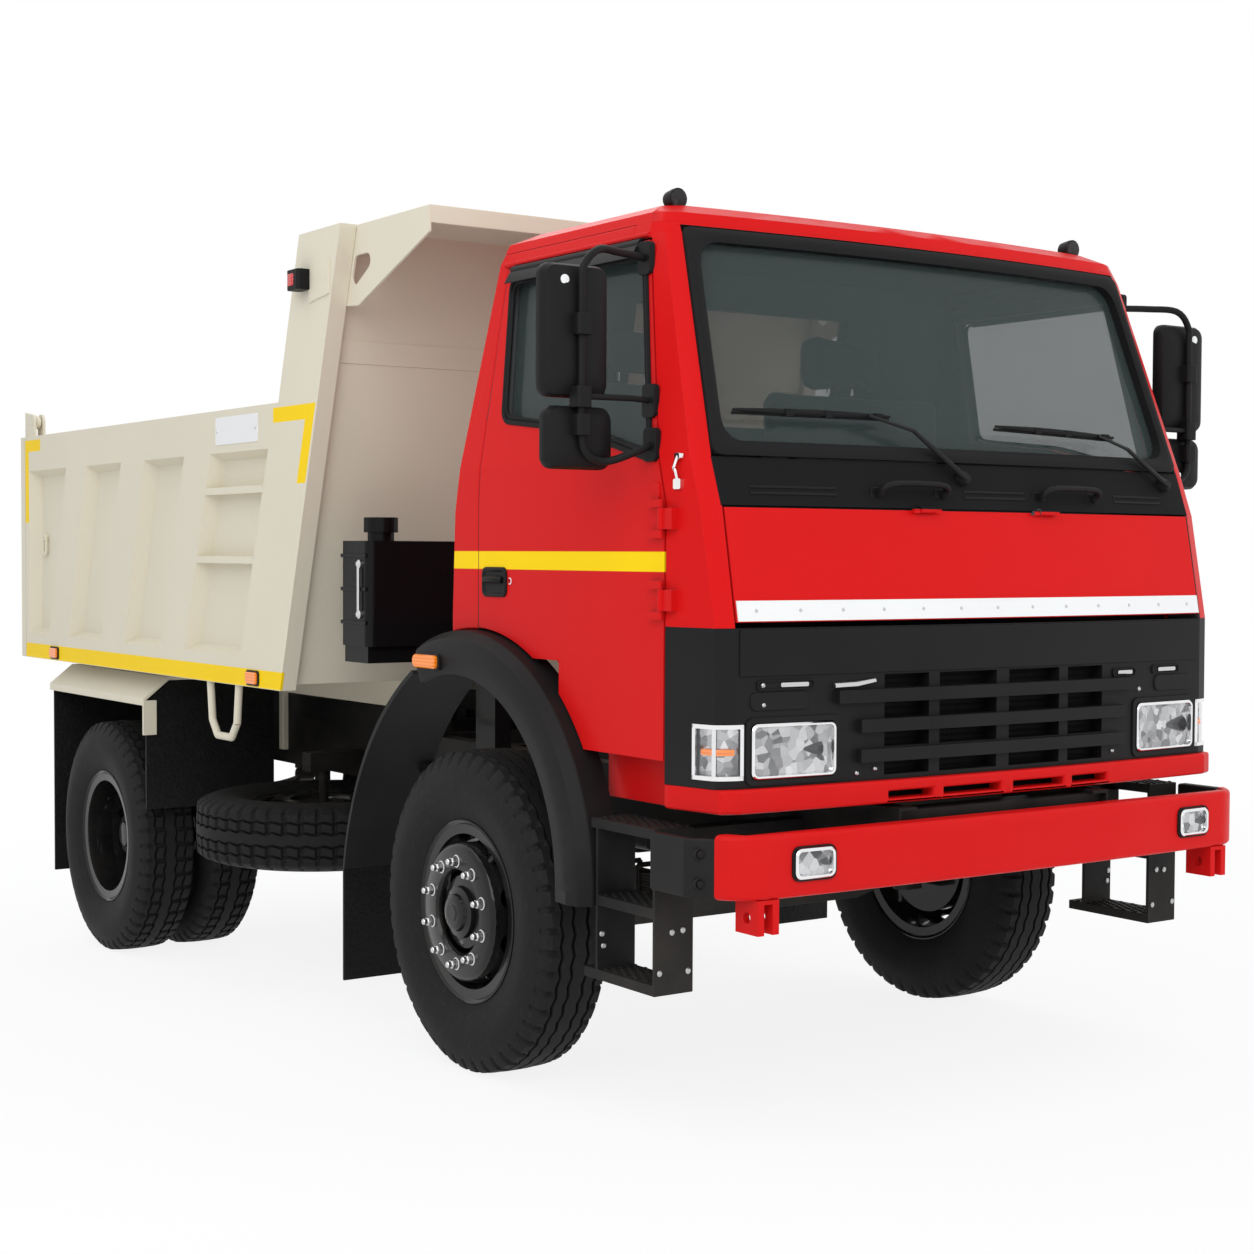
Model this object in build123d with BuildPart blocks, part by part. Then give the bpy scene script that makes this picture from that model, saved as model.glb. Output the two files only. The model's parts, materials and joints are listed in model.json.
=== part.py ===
from build123d import *
import os
from math import cos, radians, sin

os.makedirs("parts", exist_ok=True)

# A forward-control tipper truck, drawn level on its chassis. X runs to the vehicle's left, the nose
# faces -Y and Z is up. While it is drawn, y = 0 is the front axle and z = 0 the ground below it.
# Millimetres throughout.

# Wheels and stance
WHEELBASE = 3270.0
RAKE = 2.4               # the empty truck stands nose down by this angle
TYRE_RADIUS = 525.0
TYRE_WIDTH = 275.0
TREAD_WIDTH = 215.0
RIM_RADIUS = 295.0       # outside of the rim's flange
BEAD_RADIUS = 257.0
RIM_WIDTH = 210.0
RIM_SHEET = 12.0
STUD_RING = 335.0        # pitch circle of the wheel studs
STUD_COUNT = 10
STUD_HOLE = 26.0
FRONT_TRACK = 1980.0
REAR_TRACK = 1990.0      # between the outer tyres of the twins
TWIN_SPACING = 315.0
PIN_CLEARANCE = 0.3
MOVE_GAP = 6.0           # between a moving piece and its neighbours

# Chassis ladder
FRAME_TOP = 960.0
FRAME_DEPTH = 225.0
FRAME_HALF = 440.0       # centre line to the outer face of a side rail
FLANGE = 70.0
FRAME_PLATE = 10.0
FRAME_FRONT = -1350.0
SUBFRAME_DEPTH = 90.0
SUBFRAME_FRONT = 1360.0

# Steering
KING_PIN_X = 820.0
KING_PIN_RADIUS = 22.0
SPINDLE_RADIUS = 35.0
REAR_STUB_RADIUS = 55.0

# Cab shell
CAB_WALL = 55.0
CAB_ROOF_SPLIT = 2655.0
DOOR_FRONT = -1045.0
DOOR_REAR = -22.0
DOOR_BOTTOM = 1105.0
DOOR_TOP = 2600.0
ARCH_RADIUS = 755.0
ARCH_HEIGHT = 690.0      # centre of the wheel arch above the ground
FASCIA_BOTTOM = 1040.0
FASCIA_TOP = 1486.0
FLAP_TOP = 1822.0
FLAP_HALF = 966.0
FLAP_SWING_GAP = 16.0    # under the flap, which dips as it lifts
SCREEN_SEAL = 45.0
GLASS = 8.0
CAB_FLOOR = 1095.0
CAB_PLATFORM = 1500.0    # raised floor under the seats
FLOOR_SHEET = 45.0

# Tipping bed
BED_HALF = 1150.0
BED_WALL = 65.0
BED_SKIN = 10.0
BED_BOTTOM = 1170.0
BED_TOP = 2250.0
BED_REAR = 4212.0
BED_LEAN = 0.30          # run of the leaning front post for each unit of height
POST_TOP = 2850.0
POST_FRONT = 786.0       # y of the post's front edge at its top
POST_WIDTH = 333.0
BED_FLOOR = 1240.0
BED_FLOOR_DEPTH = 50.0
TAIL_DEPTH = 60.0
TAIL_PIVOT_Y = 4130.0
TAIL_PIVOT_Z = 2320.0
TAIL_PIN_RADIUS = 16.0
CANOPY_FRONT = 265.0

# Bed hinge and hoist
HINGE_Y = 3880.0
HINGE_Z = 1005.0
HINGE_PIN_RADIUS = 25.0
RAM_X = 190.0
RAM_FOOT_Y = 2540.0
RAM_FOOT_Z = 560.0
RAM_HEAD_Y = 2400.0
RAM_HEAD_Z = 1105.0
RAM_RADIUS = 75.0
RAM_WALL = 12.0

frame_bottom = FRAME_TOP - FRAME_DEPTH
subframe_top = FRAME_TOP + SUBFRAME_DEPTH
rail_x = FRAME_HALF - FLANGE / 2
frame_rear = HINGE_Y + 60
rear_y = WHEELBASE * cos(radians(RAKE))
rear_z = TYRE_RADIUS - WHEELBASE * sin(radians(RAKE))
front_tyre_x = FRONT_TRACK / 2
rear_tyre_x = REAR_TRACK / 2
bed_inner = BED_HALF - BED_WALL
bed_under = BED_FLOOR - BED_FLOOR_DEPTH
tail_front = BED_REAR + MOVE_GAP
tail_rear = tail_front + TAIL_DEPTH

# Where the raked truck's ends come to lie, so that its box can be centred
nose_y = -1405.0
nose_z = 925.0
tip_sin, tip_cos = sin(radians(RAKE)), cos(radians(RAKE))


def raked(y, z):
    """Where a point of the level drawing comes to lie once the truck stands nose down."""
    up = z - TYRE_RADIUS
    return y * tip_cos - up * tip_sin, TYRE_RADIUS + y * tip_sin + up * tip_cos


middle = (raked(nose_y, nose_z)[0] + raked(tail_rear, BED_BOTTOM)[0]) / 2
STANCE = (
    Location((0, -middle, TYRE_RADIUS))
    * Location((0, 0, 0), (RAKE, 0, 0))
    * Location((0, 0, -TYRE_RADIUS))
)


def keep(piece, label):
    """Stands a finished piece in the truck's stance, labels it and writes it."""
    piece.part = piece.part.moved(STANCE)
    piece.part.label = label
    export_step(piece.part, f"parts/{label}.step")


def block(x, y, z, mode=Mode.ADD):
    """A box between two limits along each axis."""
    with Locations(((x[0] + x[1]) / 2, (y[0] + y[1]) / 2, (z[0] + z[1]) / 2)):
        Box(abs(x[1] - x[0]), abs(y[1] - y[0]), abs(z[1] - z[0]), mode=mode)


def side_prism(points, x, mode=Mode.ADD):
    """A side outline of (y, z) points carried across between two x limits."""
    with BuildSketch(Plane.YZ.offset(x[0])) as outline:
        with BuildLine():
            Polyline(*points, close=True)
        make_face()
    extrude(outline.sketch, amount=x[1] - x[0], mode=mode)


def front_prism(points, y, mode=Mode.ADD):
    """A front outline of (x, z) points carried along between two y limits."""
    with BuildSketch(Plane.XZ.offset(-y[0])) as outline:
        with BuildLine():
            Polyline(*points, close=True)
        make_face()
    extrude(outline.sketch, amount=y[0] - y[1], mode=mode)


def plan_prism(points, z, mode=Mode.ADD):
    """A plan outline of (x, y) points carried up between two z limits."""
    with BuildSketch(Plane.XY.offset(z[0])) as outline:
        with BuildLine():
            Polyline(*points, close=True)
        make_face()
    extrude(outline.sketch, amount=z[1] - z[0], mode=mode)


def bar(start, end, radius, mode=Mode.ADD):
    """A round bar from one point to another."""
    way = Vector(*end) - Vector(*start)
    with BuildSketch(Plane(origin=start, z_dir=way)) as section:
        Circle(radius)
    extrude(section.sketch, amount=way.length, mode=mode)


def cross_pin(x, y, z, radius, mode=Mode.ADD):
    """A round pin or bore along X."""
    bar((x[0], y, z), (x[1], y, z), radius, mode)


def turned(profile, y, z, mode=Mode.ADD):
    """A ring turned about the X axis at (y, z) from (x, radius) points."""
    with BuildSketch(Plane(origin=(0, y, z), x_dir=(1, 0, 0), z_dir=(0, 0, 1))) as section:
        with BuildLine():
            Polyline(*profile, close=True)
        make_face()
    revolve(section.sketch, axis=Axis((0, y, z), (1, 0, 0)), mode=mode)


def lean(z):
    """y of the front post's front edge at a height."""
    return POST_FRONT + BED_LEAN * (POST_TOP - z)


# Outline of the cab in plan at each height: half width, rear wall, where the side turns in,
# the corner's crease, the edge of the front panel, and how far the front bows out at the middle
CAB_SECTIONS = (
    # z, half, rear, shoulder, crease_x, crease_y, edge_x, edge_y, bow
    (960, 1060, 150, -1045, 1025, -1240, 969, -1264, 40),
    (1490, 1060, 150, -1045, 1025, -1238, 969, -1262, 40),
    (1825, 1060, 135, -1035, 1030, -1172, 975, -1198, 45),
    (1965, 1060, 105, -1020, 1028, -1122, 974, -1149, 50),
    (2620, 985, -26, -866, 958, -900, 912, -925, 55),
    (2685, 962, -50, -846, 934, -876, 892, -898, 55),
    (2718, 890, -120, -790, 866, -812, 836, -832, 50),
)


def cab_form(inset=0.0):
    """The cab's outer form, or the same drawn in by a wall thickness."""
    with BuildPart() as form:
        for z, half, rear, shoulder, crease_x, crease_y, edge_x, edge_y, bow in CAB_SECTIONS:
            level = min(z, CAB_SECTIONS[-1][0] - inset)
            level = level if level == z else level + (z - CAB_SECTIONS[-1][0]) * 0.1
            with BuildSketch(Plane.XY.offset(level)):
                with BuildLine():
                    w, r = half - inset, rear - inset
                    cx, cy = crease_x - inset, crease_y + inset
                    ex, ey = edge_x - inset * 0.4, edge_y + inset
                    Polyline(
                        (-ex, ey), (-cx, cy), (-w, shoulder), (-w, r), (w, r), (w, shoulder), (cx, cy),
                        (ex, ey))
                    ThreePointArc((ex, ey), (0, ey - bow), (-ex, ey))
                make_face()
        loft(ruled=True)
    return form.part


door_outline = (
    (DOOR_FRONT, DOOR_BOTTOM), (DOOR_FRONT, 1830), (-868, DOOR_TOP), (-85, DOOR_TOP), (DOOR_REAR, 1850),
    (DOOR_REAR, ARCH_HEIGHT), (DOOR_FRONT, ARCH_HEIGHT),
)
window_outline = ((-150, 2115), (-560, 2070), (-975, 1965), (-850, 2560), (-118, 2560))
screen_outline = ((-974, 1965), (974, 1965), (912, 2645), (-912, 2645))


def grown(points, amount, plane, depth, mode):
    """Carries an outline, grown or shrunk all round, through a wall."""
    with BuildSketch(plane) as outline:
        with BuildLine():
            Polyline(*points, close=True)
        make_face()
        offset(amount=amount, kind=Kind.INTERSECTION, mode=Mode.REPLACE)
    extrude(outline.sketch, amount=depth, mode=mode)


# Ladder frame: two channel rails, cross members, cab posts, spring hangers, the hoist's cradle
# and the spare wheel's carrier
CROSS_MEMBERS = (-1290, 1000, 1560, 2120, 2900, 3640)
CROSS_HALF = 40.0
CROSS_DEPTH = 130.0
SPRING_EYE_DROP = 45.0   # spring eye below the rail
SPRING_REACH = 640.0     # axle to spring eye
SPRING_EYE_RADIUS = 28.0
spring_eye_z = frame_bottom - SPRING_EYE_DROP
CAB_POSTS = (
    # y, top
    (-1100, CAB_FLOOR - FLOOR_SHEET), (50, CAB_PLATFORM - FLOOR_SHEET),
)
EAR_PLATE = 20.0
CRADLE_TUBE = 28.0
CRADLE_HALF = 60.0
cradle_x = FRAME_HALF - FLANGE - EAR_PLATE
SPARE_X = -620.0
SPARE_Y = 2000.0
SPARE_Z = 552.0
SPARE_CLAMP = 91.0       # underside of the spare's disc above its middle
CARRIER_BEAM = 40.0
CARRIER_PLATE = 16.0
CARRIER_RADIUS = 165.0

with BuildPart() as chassis_frame:
    for side in (-1, 1):
        outer, inner = side * FRAME_HALF, side * (FRAME_HALF - FRAME_PLATE)
        tip = side * (FRAME_HALF - FLANGE)
        block((inner, outer), (FRAME_FRONT, frame_rear), (frame_bottom, FRAME_TOP))
        block((tip, outer), (FRAME_FRONT, frame_rear), (frame_bottom, frame_bottom + FRAME_PLATE))
        block((tip, outer), (FRAME_FRONT, frame_rear), (FRAME_TOP - FRAME_PLATE, FRAME_TOP))
        for y, top in CAB_POSTS:
            block((tip, outer), (y - 35, y + 35), (FRAME_TOP, top))
        for axle in (0, rear_y):
            for eye in (axle - SPRING_REACH, axle + SPRING_REACH):
                block((tip, outer), (eye - 30, eye + 30), (spring_eye_z + SPRING_EYE_RADIUS, frame_bottom))
    for y in (*CROSS_MEMBERS, frame_rear - CROSS_HALF):
        block(
            (-FRAME_HALF + FRAME_PLATE, FRAME_HALF - FRAME_PLATE),
            (y - CROSS_HALF, y + CROSS_HALF),
            (FRAME_TOP - FRAME_PLATE - CROSS_DEPTH, FRAME_TOP - FRAME_PLATE),
        )
    cross_pin((-cradle_x, cradle_x), RAM_FOOT_Y, RAM_FOOT_Z, CRADLE_TUBE)
    for side in (-1, 1):
        block(
            (side * cradle_x, side * (cradle_x + EAR_PLATE)),
            (RAM_FOOT_Y - CRADLE_HALF, RAM_FOOT_Y + CRADLE_HALF),
            (RAM_FOOT_Z - CRADLE_HALF, FRAME_TOP),
        )
    clamp = SPARE_Z + SPARE_CLAMP - CARRIER_PLATE / 2
    beam_z = frame_bottom + CARRIER_BEAM
    with Locations((SPARE_X, SPARE_Y, clamp)):
        Cylinder(CARRIER_RADIUS, CARRIER_PLATE)
    bar((SPARE_X, SPARE_Y, clamp), (SPARE_X, SPARE_Y, beam_z + CARRIER_BEAM), CARRIER_BEAM / 2)
    block(
        (SPARE_X - 2 * CARRIER_BEAM, -FRAME_HALF), (SPARE_Y - CARRIER_BEAM, SPARE_Y + CARRIER_BEAM),
        (beam_z, beam_z + 2 * CARRIER_BEAM))
keep(chassis_frame, "chassis_frame")

# Tipping subframe on the rails, with the hinge eyes at its tail
HINGE_EYE = 45.0
ear_x = (FRAME_HALF, FRAME_HALF + EAR_PLATE)

with BuildPart() as subframe:
    for side in (-1, 1):
        block(
            (side * (FRAME_HALF - FLANGE), side * FRAME_HALF),
            (SUBFRAME_FRONT, HINGE_Y - 20),
            (FRAME_TOP, subframe_top),
        )
        near, far = side * ear_x[0], side * ear_x[1]
        block((near, far), (HINGE_Y - 160, HINGE_Y + HINGE_EYE), (FRAME_TOP - 120, HINGE_Z))
        cross_pin((near, far), HINGE_Y, HINGE_Z, HINGE_EYE)
        cross_pin((near, far), HINGE_Y, HINGE_Z, HINGE_PIN_RADIUS + PIN_CLEARANCE, Mode.SUBTRACT)
keep(subframe, "subframe")

# Hoist: a pair of telescopic rams, each stage running in the one below
RAM_STAGES = 3
RAM_EYE = 48.0
RAM_EYE_HALF = 30.0
RAM_MOUTH = 44.0         # closed length of the ram beyond its barrel
lean_in = Vector(0, RAM_HEAD_Y - RAM_FOOT_Y, RAM_HEAD_Z - RAM_FOOT_Z)
ram_length = lean_in.length
ram_way = lean_in.normalized()


def up_ram(side, reach):
    """A point on a ram's axis, measured from its foot."""
    return (side * RAM_X, RAM_FOOT_Y + ram_way.Y * reach, RAM_FOOT_Z + ram_way.Z * reach)


def ram_stage(index):
    """Outer radius of a stage; the barrel is stage 0."""
    return RAM_RADIUS - index * (RAM_WALL + PIN_CLEARANCE)


with BuildPart() as hoist_barrel:
    for side in (-1, 1):
        bar(up_ram(side, RAM_EYE - 8), up_ram(side, ram_length - RAM_MOUTH), ram_stage(0))
        bar(up_ram(side, RAM_EYE + 8), up_ram(side, ram_length), ram_stage(1) + PIN_CLEARANCE, Mode.SUBTRACT)
        cross_pin(
            (side * RAM_X - RAM_EYE_HALF, side * RAM_X + RAM_EYE_HALF), RAM_FOOT_Y, RAM_FOOT_Z, RAM_EYE)
        cross_pin(
            (side * RAM_X - RAM_EYE_HALF, side * RAM_X + RAM_EYE_HALF), RAM_FOOT_Y, RAM_FOOT_Z,
            CRADLE_TUBE + PIN_CLEARANCE, Mode.SUBTRACT)
keep(hoist_barrel, "hoist_barrel")

for index in range(1, RAM_STAGES):
    with BuildPart() as hoist_stage:
        for side in (-1, 1):
            foot = RAM_EYE + 8 + 4 * index
            head = ram_length - RAM_MOUTH + 4 * index
            bar(up_ram(side, foot), up_ram(side, head), ram_stage(index))
            bar(
                up_ram(side, foot - 1), up_ram(side, head + 1),
                ram_stage(index + 1) + PIN_CLEARANCE, Mode.SUBTRACT)
    keep(hoist_stage, f"hoist_stage_{index}")

with BuildPart() as hoist_rod:
    for side in (-1, 1):
        bar(up_ram(side, RAM_EYE + 8 + 4 * RAM_STAGES), up_ram(side, ram_length - 30), ram_stage(RAM_STAGES))
        eye_x = (side * RAM_X - RAM_EYE_HALF, side * RAM_X + RAM_EYE_HALF)
        cross_pin(eye_x, RAM_HEAD_Y, RAM_HEAD_Z, RAM_EYE - 8)
        cross_pin(
            (side * RAM_X - RAM_RADIUS - 9, side * RAM_X + RAM_RADIUS + 9), RAM_HEAD_Y, RAM_HEAD_Z,
            CRADLE_TUBE - 8)
keep(hoist_rod, "hoist_rod")

# Axles and springs
AXLE_BEAM = (90.0, 90.0)      # front beam, along y and z
AXLE_DROP = 60.0              # the front beam hangs this far below the wheel centres
KING_BOSS = 38.0
KING_BOSS_HALF = 60.0
AXLE_TUBE = 75.0
SPRING_WIDTH = 70.0
PINION_REACH = 320.0          # rear axle to its driving flange
SPRING_PACKS = (
    # axle y, seat z, pack thickness
    (0.0, TYRE_RADIUS - AXLE_DROP + AXLE_BEAM[1] / 2 + 15, 80.0),
    (rear_y, rear_z + AXLE_TUBE + 25, 110.0),
)

with BuildPart() as front_axle:
    beam_z = TYRE_RADIUS - AXLE_DROP
    half = AXLE_BEAM[1] / 2
    front_prism(
        (
            (-560, beam_z - half), (560, beam_z - half), (KING_PIN_X, TYRE_RADIUS - half),
            (KING_PIN_X, TYRE_RADIUS + half), (600, beam_z + half), (-600, beam_z + half),
            (-KING_PIN_X, TYRE_RADIUS + half), (-KING_PIN_X, TYRE_RADIUS - half),
        ),
        (-AXLE_BEAM[0] / 2 + 10, AXLE_BEAM[0] / 2 - 10),
    )
    for side in (-1, 1):
        low, high = TYRE_RADIUS - KING_BOSS_HALF, TYRE_RADIUS + KING_BOSS_HALF
        block((side * (KING_PIN_X - 5), side * (KING_PIN_X + 60)), (-60, 60), (low, high), Mode.SUBTRACT)
        bar((side * KING_PIN_X, 0, low), (side * KING_PIN_X, 0, high), KING_BOSS)
        bar(
            (side * KING_PIN_X, 0, low - 1), (side * KING_PIN_X, 0, high + 1),
            KING_PIN_RADIUS + PIN_CLEARANCE, Mode.SUBTRACT)
        block((side * (rail_x - 50), side * (rail_x + 50)), (-60, 60), (beam_z, SPRING_PACKS[0][1]))
keep(front_axle, "front_axle")

with BuildPart() as rear_axle:
    cross_pin((-rear_tyre_x + 5, rear_tyre_x - 5), rear_y, rear_z, REAR_STUB_RADIUS)
    cross_pin((-590, 590), rear_y, rear_z, AXLE_TUBE)
    bar((0, rear_y - 120, rear_z), (0, rear_y + 120, rear_z), 190)
    bar((0, rear_y - PINION_REACH, rear_z), (0, rear_y, rear_z), AXLE_TUBE)
    for side in (-1, 1):
        block(
            (side * (rail_x - 50), side * (rail_x + 50)), (rear_y - 70, rear_y + 70),
            (rear_z, SPRING_PACKS[1][1]))
    fillet(rear_axle.edges().filter_by(GeomType.CIRCLE).filter_by(lambda e: abs(e.radius - 190) < 1), 60)
keep(rear_axle, "rear_axle")

with BuildPart() as leaf_springs:
    for axle, seat, pack in SPRING_PACKS:
        ends = [axle - SPRING_REACH, axle + SPRING_REACH]
        for side in (-1, 1):
            x = (side * rail_x - SPRING_WIDTH / 2, side * rail_x + SPRING_WIDTH / 2)
            with BuildSketch(Plane.YZ.offset(x[0])) as leaves:
                with BuildLine():
                    ThreePointArc(
                        (ends[0], spring_eye_z - 15), (axle, seat + 12), (ends[1], spring_eye_z - 15))
                    Line((ends[1], spring_eye_z - 15), (ends[1], spring_eye_z + 12))
                    ThreePointArc(
                        (ends[1], spring_eye_z + 12), (axle, seat + pack), (ends[0], spring_eye_z + 12))
                    Line((ends[0], spring_eye_z + 12), (ends[0], spring_eye_z - 15))
                make_face()
            extrude(leaves.sketch, amount=SPRING_WIDTH)
            block(x, (axle - 60, axle + 60), (seat, seat + pack + 20))
            for y in ends:
                cross_pin(x, y, spring_eye_z, SPRING_EYE_RADIUS)
keep(leaf_springs, "leaf_springs")

# Drive line: engine, gearbox, propeller shaft and radiator
ENGINE = ((-290, 290), (-860, 240), (640, 1290))
GEARBOX = ((-170, 170), (240, 800), (620, 980))
SHAFT_RADIUS = 45.0
SHAFT_HEIGHT = 740.0     # at the gearbox

ENGINE_ROUND = 25.0
MOUNT_Y = (-520.0, 60.0)
MOUNT_HALF = 45.0
MOUNT_Z = (780.0, 900.0)
RADIATOR_HALF = 300.0
RADIATOR_Y = (-1030.0, -950.0)
radiator_foot = frame_bottom + 20
pinion_y = rear_y - PINION_REACH
shaft_slope = (rear_z - SHAFT_HEIGHT) / (pinion_y - GEARBOX[1][1])

with BuildPart() as drive_line:
    shaft_ends = [
        (0, y, SHAFT_HEIGHT + shaft_slope * (y - GEARBOX[1][1])) for y in (GEARBOX[1][1] - 50, pinion_y + 50)
    ]
    bar(*shaft_ends, SHAFT_RADIUS)
    block((-SHAFT_RADIUS, SHAFT_RADIUS), (GEARBOX[1][1], pinion_y), (0, FRAME_TOP), Mode.INTERSECT)
    block(*ENGINE)
    fillet(drive_line.solids().sort_by(Axis.Y)[0].edges(), ENGINE_ROUND)
    block(*GEARBOX)
    inside = FRAME_HALF - FRAME_PLATE
    for side in (-1, 1):
        for y in MOUNT_Y:
            block((side * (ENGINE[0][1] - 10), side * inside), (y - MOUNT_HALF, y + MOUNT_HALF), MOUNT_Z)
    block((-RADIATOR_HALF, RADIATOR_HALF), RADIATOR_Y, (radiator_foot, ENGINE[2][1]))
    block((-inside, inside), (RADIATOR_Y[0] + 10, RADIATOR_Y[1] - 10), (radiator_foot, radiator_foot + 50))
keep(drive_line, "drive_line")

# Wheels
HUB_RADIUS = 100.0
DRUM_RADIUS = 200.0
SPINDLE_END = 95.0       # spindle reach beyond the front tyre's middle
DISC_FACE = 133.0        # the front disc's stud face, out from the tyre's middle
PILOT_RADIUS = 140.0
FACE_RADIUS = 213.0
DISC_SHEET = 14.0
HAND_HOLES = 10
HAND_HOLE = 24.0
rim_half = RIM_WIDTH / 2
barrel_radius = BEAD_RADIUS - RIM_SHEET


def tyre_profile(x):
    """(x, radius) outline of a tyre's section about its middle plane."""
    half, tread = TYRE_WIDTH / 2, TREAD_WIDTH / 2
    seat = rim_half - RIM_SHEET
    return [
        (x - seat, BEAD_RADIUS), (x - seat, RIM_RADIUS), (x - half, RIM_RADIUS + 70), (
            x - half, TYRE_RADIUS - 105),
        (x - tread, TYRE_RADIUS - 12), (x - tread + 25, TYRE_RADIUS), (x + tread - 25, TYRE_RADIUS),
        (x + tread, TYRE_RADIUS - 12), (x + half, TYRE_RADIUS - 105), (x + half, RIM_RADIUS + 70),
        (x + seat, RIM_RADIUS), (x + seat, BEAD_RADIUS),
    ]


def rim_profile(x):
    """(x, radius) outline of a rim's rolled section about its middle plane."""
    half, seat = rim_half, rim_half - RIM_SHEET
    return [
        (x - half, RIM_RADIUS), (x - half, barrel_radius), (x + half, barrel_radius), (x + half, RIM_RADIUS),
        (x + seat, RIM_RADIUS - 4), (x + seat, BEAD_RADIUS), (x - seat, BEAD_RADIUS), (
            x - seat, RIM_RADIUS - 4),
    ]


def cut_ring(count, radius, hole, x, y, z, turn=0.0):
    """A ring of holes along X."""
    with BuildSketch(Plane(origin=(x[0], y, z), x_dir=(0, 1, 0), z_dir=(1, 0, 0))) as ring:
        with PolarLocations(radius, count, start_angle=turn):
            Circle(hole)
    extrude(ring.sketch, amount=x[1] - x[0], mode=Mode.SUBTRACT)


def front_rim_shape(y, z, x):
    """Rim, dished disc, hub and drum of a wheel on the right, its middle at -x."""
    turned(rim_profile(-x), y, z)
    face = -x - DISC_FACE
    turned(
        [
            (-x - 25, barrel_radius + 2), (-x - 45, barrel_radius + 2), (face, FACE_RADIUS), (
                face, PILOT_RADIUS),
            (face + DISC_SHEET, PILOT_RADIUS), (face + DISC_SHEET, FACE_RADIUS - 8),
        ],
        y, z)


with BuildPart() as front_tyre_right:
    turned(tyre_profile(-front_tyre_x), 0, TYRE_RADIUS)

with BuildPart() as front_rim_right:
    front_rim_shape(0, TYRE_RADIUS, front_tyre_x)
    hub_face = -front_tyre_x - DISC_FACE + DISC_SHEET
    turned(
        [
            (-front_tyre_x + rim_half - 5, DRUM_RADIUS), (-front_tyre_x + 15, DRUM_RADIUS),
            (-front_tyre_x, HUB_RADIUS), (hub_face + 20, HUB_RADIUS), (hub_face + 20, FACE_RADIUS - 12),
            (hub_face, FACE_RADIUS - 12), (hub_face, 95), (hub_face - 45, 78), (hub_face - 45, 0),
            (-front_tyre_x - SPINDLE_END - 8, 0), (
                -front_tyre_x - SPINDLE_END - 8, SPINDLE_RADIUS + PIN_CLEARANCE),
            (-front_tyre_x + rim_half - 5, SPINDLE_RADIUS + PIN_CLEARANCE),
        ],
        0, TYRE_RADIUS)
    cut_ring(
        HAND_HOLES, (FACE_RADIUS + barrel_radius) / 2 - 2, HAND_HOLE - 8,
        (-front_tyre_x - DISC_FACE - 5, -front_tyre_x - 20), 0, TYRE_RADIUS)
    cut_ring(
        STUD_COUNT, STUD_RING / 2, STUD_HOLE / 2, (hub_face - 30, hub_face + 40), 0, TYRE_RADIUS, 18)

with BuildPart() as rear_tyres_right:
    for x in (-rear_tyre_x, -rear_tyre_x + TWIN_SPACING):
        turned(tyre_profile(x), rear_y, rear_z)

REAR_HUB = 105.0
REAR_HUB_NOSE = 1020.0
with BuildPart() as rear_rims_right:
    mount_x = -rear_tyre_x + TWIN_SPACING / 2
    for x, way in ((-rear_tyre_x, -1), (-rear_tyre_x + TWIN_SPACING, 1)):
        turned(rim_profile(x), rear_y, rear_z)
        turned(
            [
                (x - way * 25, barrel_radius + 2), (x - way * 5, barrel_radius + 2),
                (mount_x + way * DISC_SHEET, FACE_RADIUS), (mount_x + way * DISC_SHEET, PILOT_RADIUS - 50),
                (mount_x, PILOT_RADIUS - 50), (mount_x, FACE_RADIUS + 6),
            ],
            rear_y, rear_z)
    turned(
        [
            (-REAR_HUB_NOSE, 0), (-REAR_HUB_NOSE, 80), (-REAR_HUB_NOSE + 25, REAR_HUB), (
                mount_x + 60, REAR_HUB),
            (mount_x + 60, DRUM_RADIUS), (mount_x + 220, DRUM_RADIUS),
            (mount_x + 220, REAR_STUB_RADIUS + PIN_CLEARANCE),
            (-rear_tyre_x - 2, REAR_STUB_RADIUS + PIN_CLEARANCE), (-rear_tyre_x - 2, 0),
        ],
        rear_y, rear_z)
    cut_ring(
        HAND_HOLES, (FACE_RADIUS + barrel_radius) / 2 - 2, HAND_HOLE - 8,
        (-rear_tyre_x - 20, -560), rear_y, rear_z)

with BuildPart() as knuckle_right:
    x = -KING_PIN_X
    low, high = KING_BOSS_HALF + MOVE_GAP, KING_BOSS_HALF + 40
    for way in (-1, 1):
        near, far = sorted((TYRE_RADIUS + way * low, TYRE_RADIUS + way * high))
        bar((x, 0, near), (x, 0, far), KING_BOSS)
        block((x - KING_BOSS - 20, x), (-KING_BOSS, KING_BOSS), (near, far))
    bar((x, 0, TYRE_RADIUS - high), (x, 0, TYRE_RADIUS + high), KING_PIN_RADIUS)
    plate = -front_tyre_x + rim_half + 3
    block(
        (plate, x - KING_BOSS - MOVE_GAP), (-KING_BOSS, KING_BOSS), (TYRE_RADIUS - high, TYRE_RADIUS + high))
    cross_pin((-front_tyre_x - SPINDLE_END, plate), 0, TYRE_RADIUS, SPINDLE_RADIUS)

RIGHT_WHEELS = (
    ("front_tyre", front_tyre_right), ("front_rim", front_rim_right), ("rear_tyres", rear_tyres_right),
    ("rear_rims", rear_rims_right), ("knuckle", knuckle_right),
)
for label, right in RIGHT_WHEELS:
    with BuildPart() as left:
        mirror(right.part, about=Plane.YZ)
    keep(right, f"{label}_right")
    keep(left, f"{label}_left")

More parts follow.
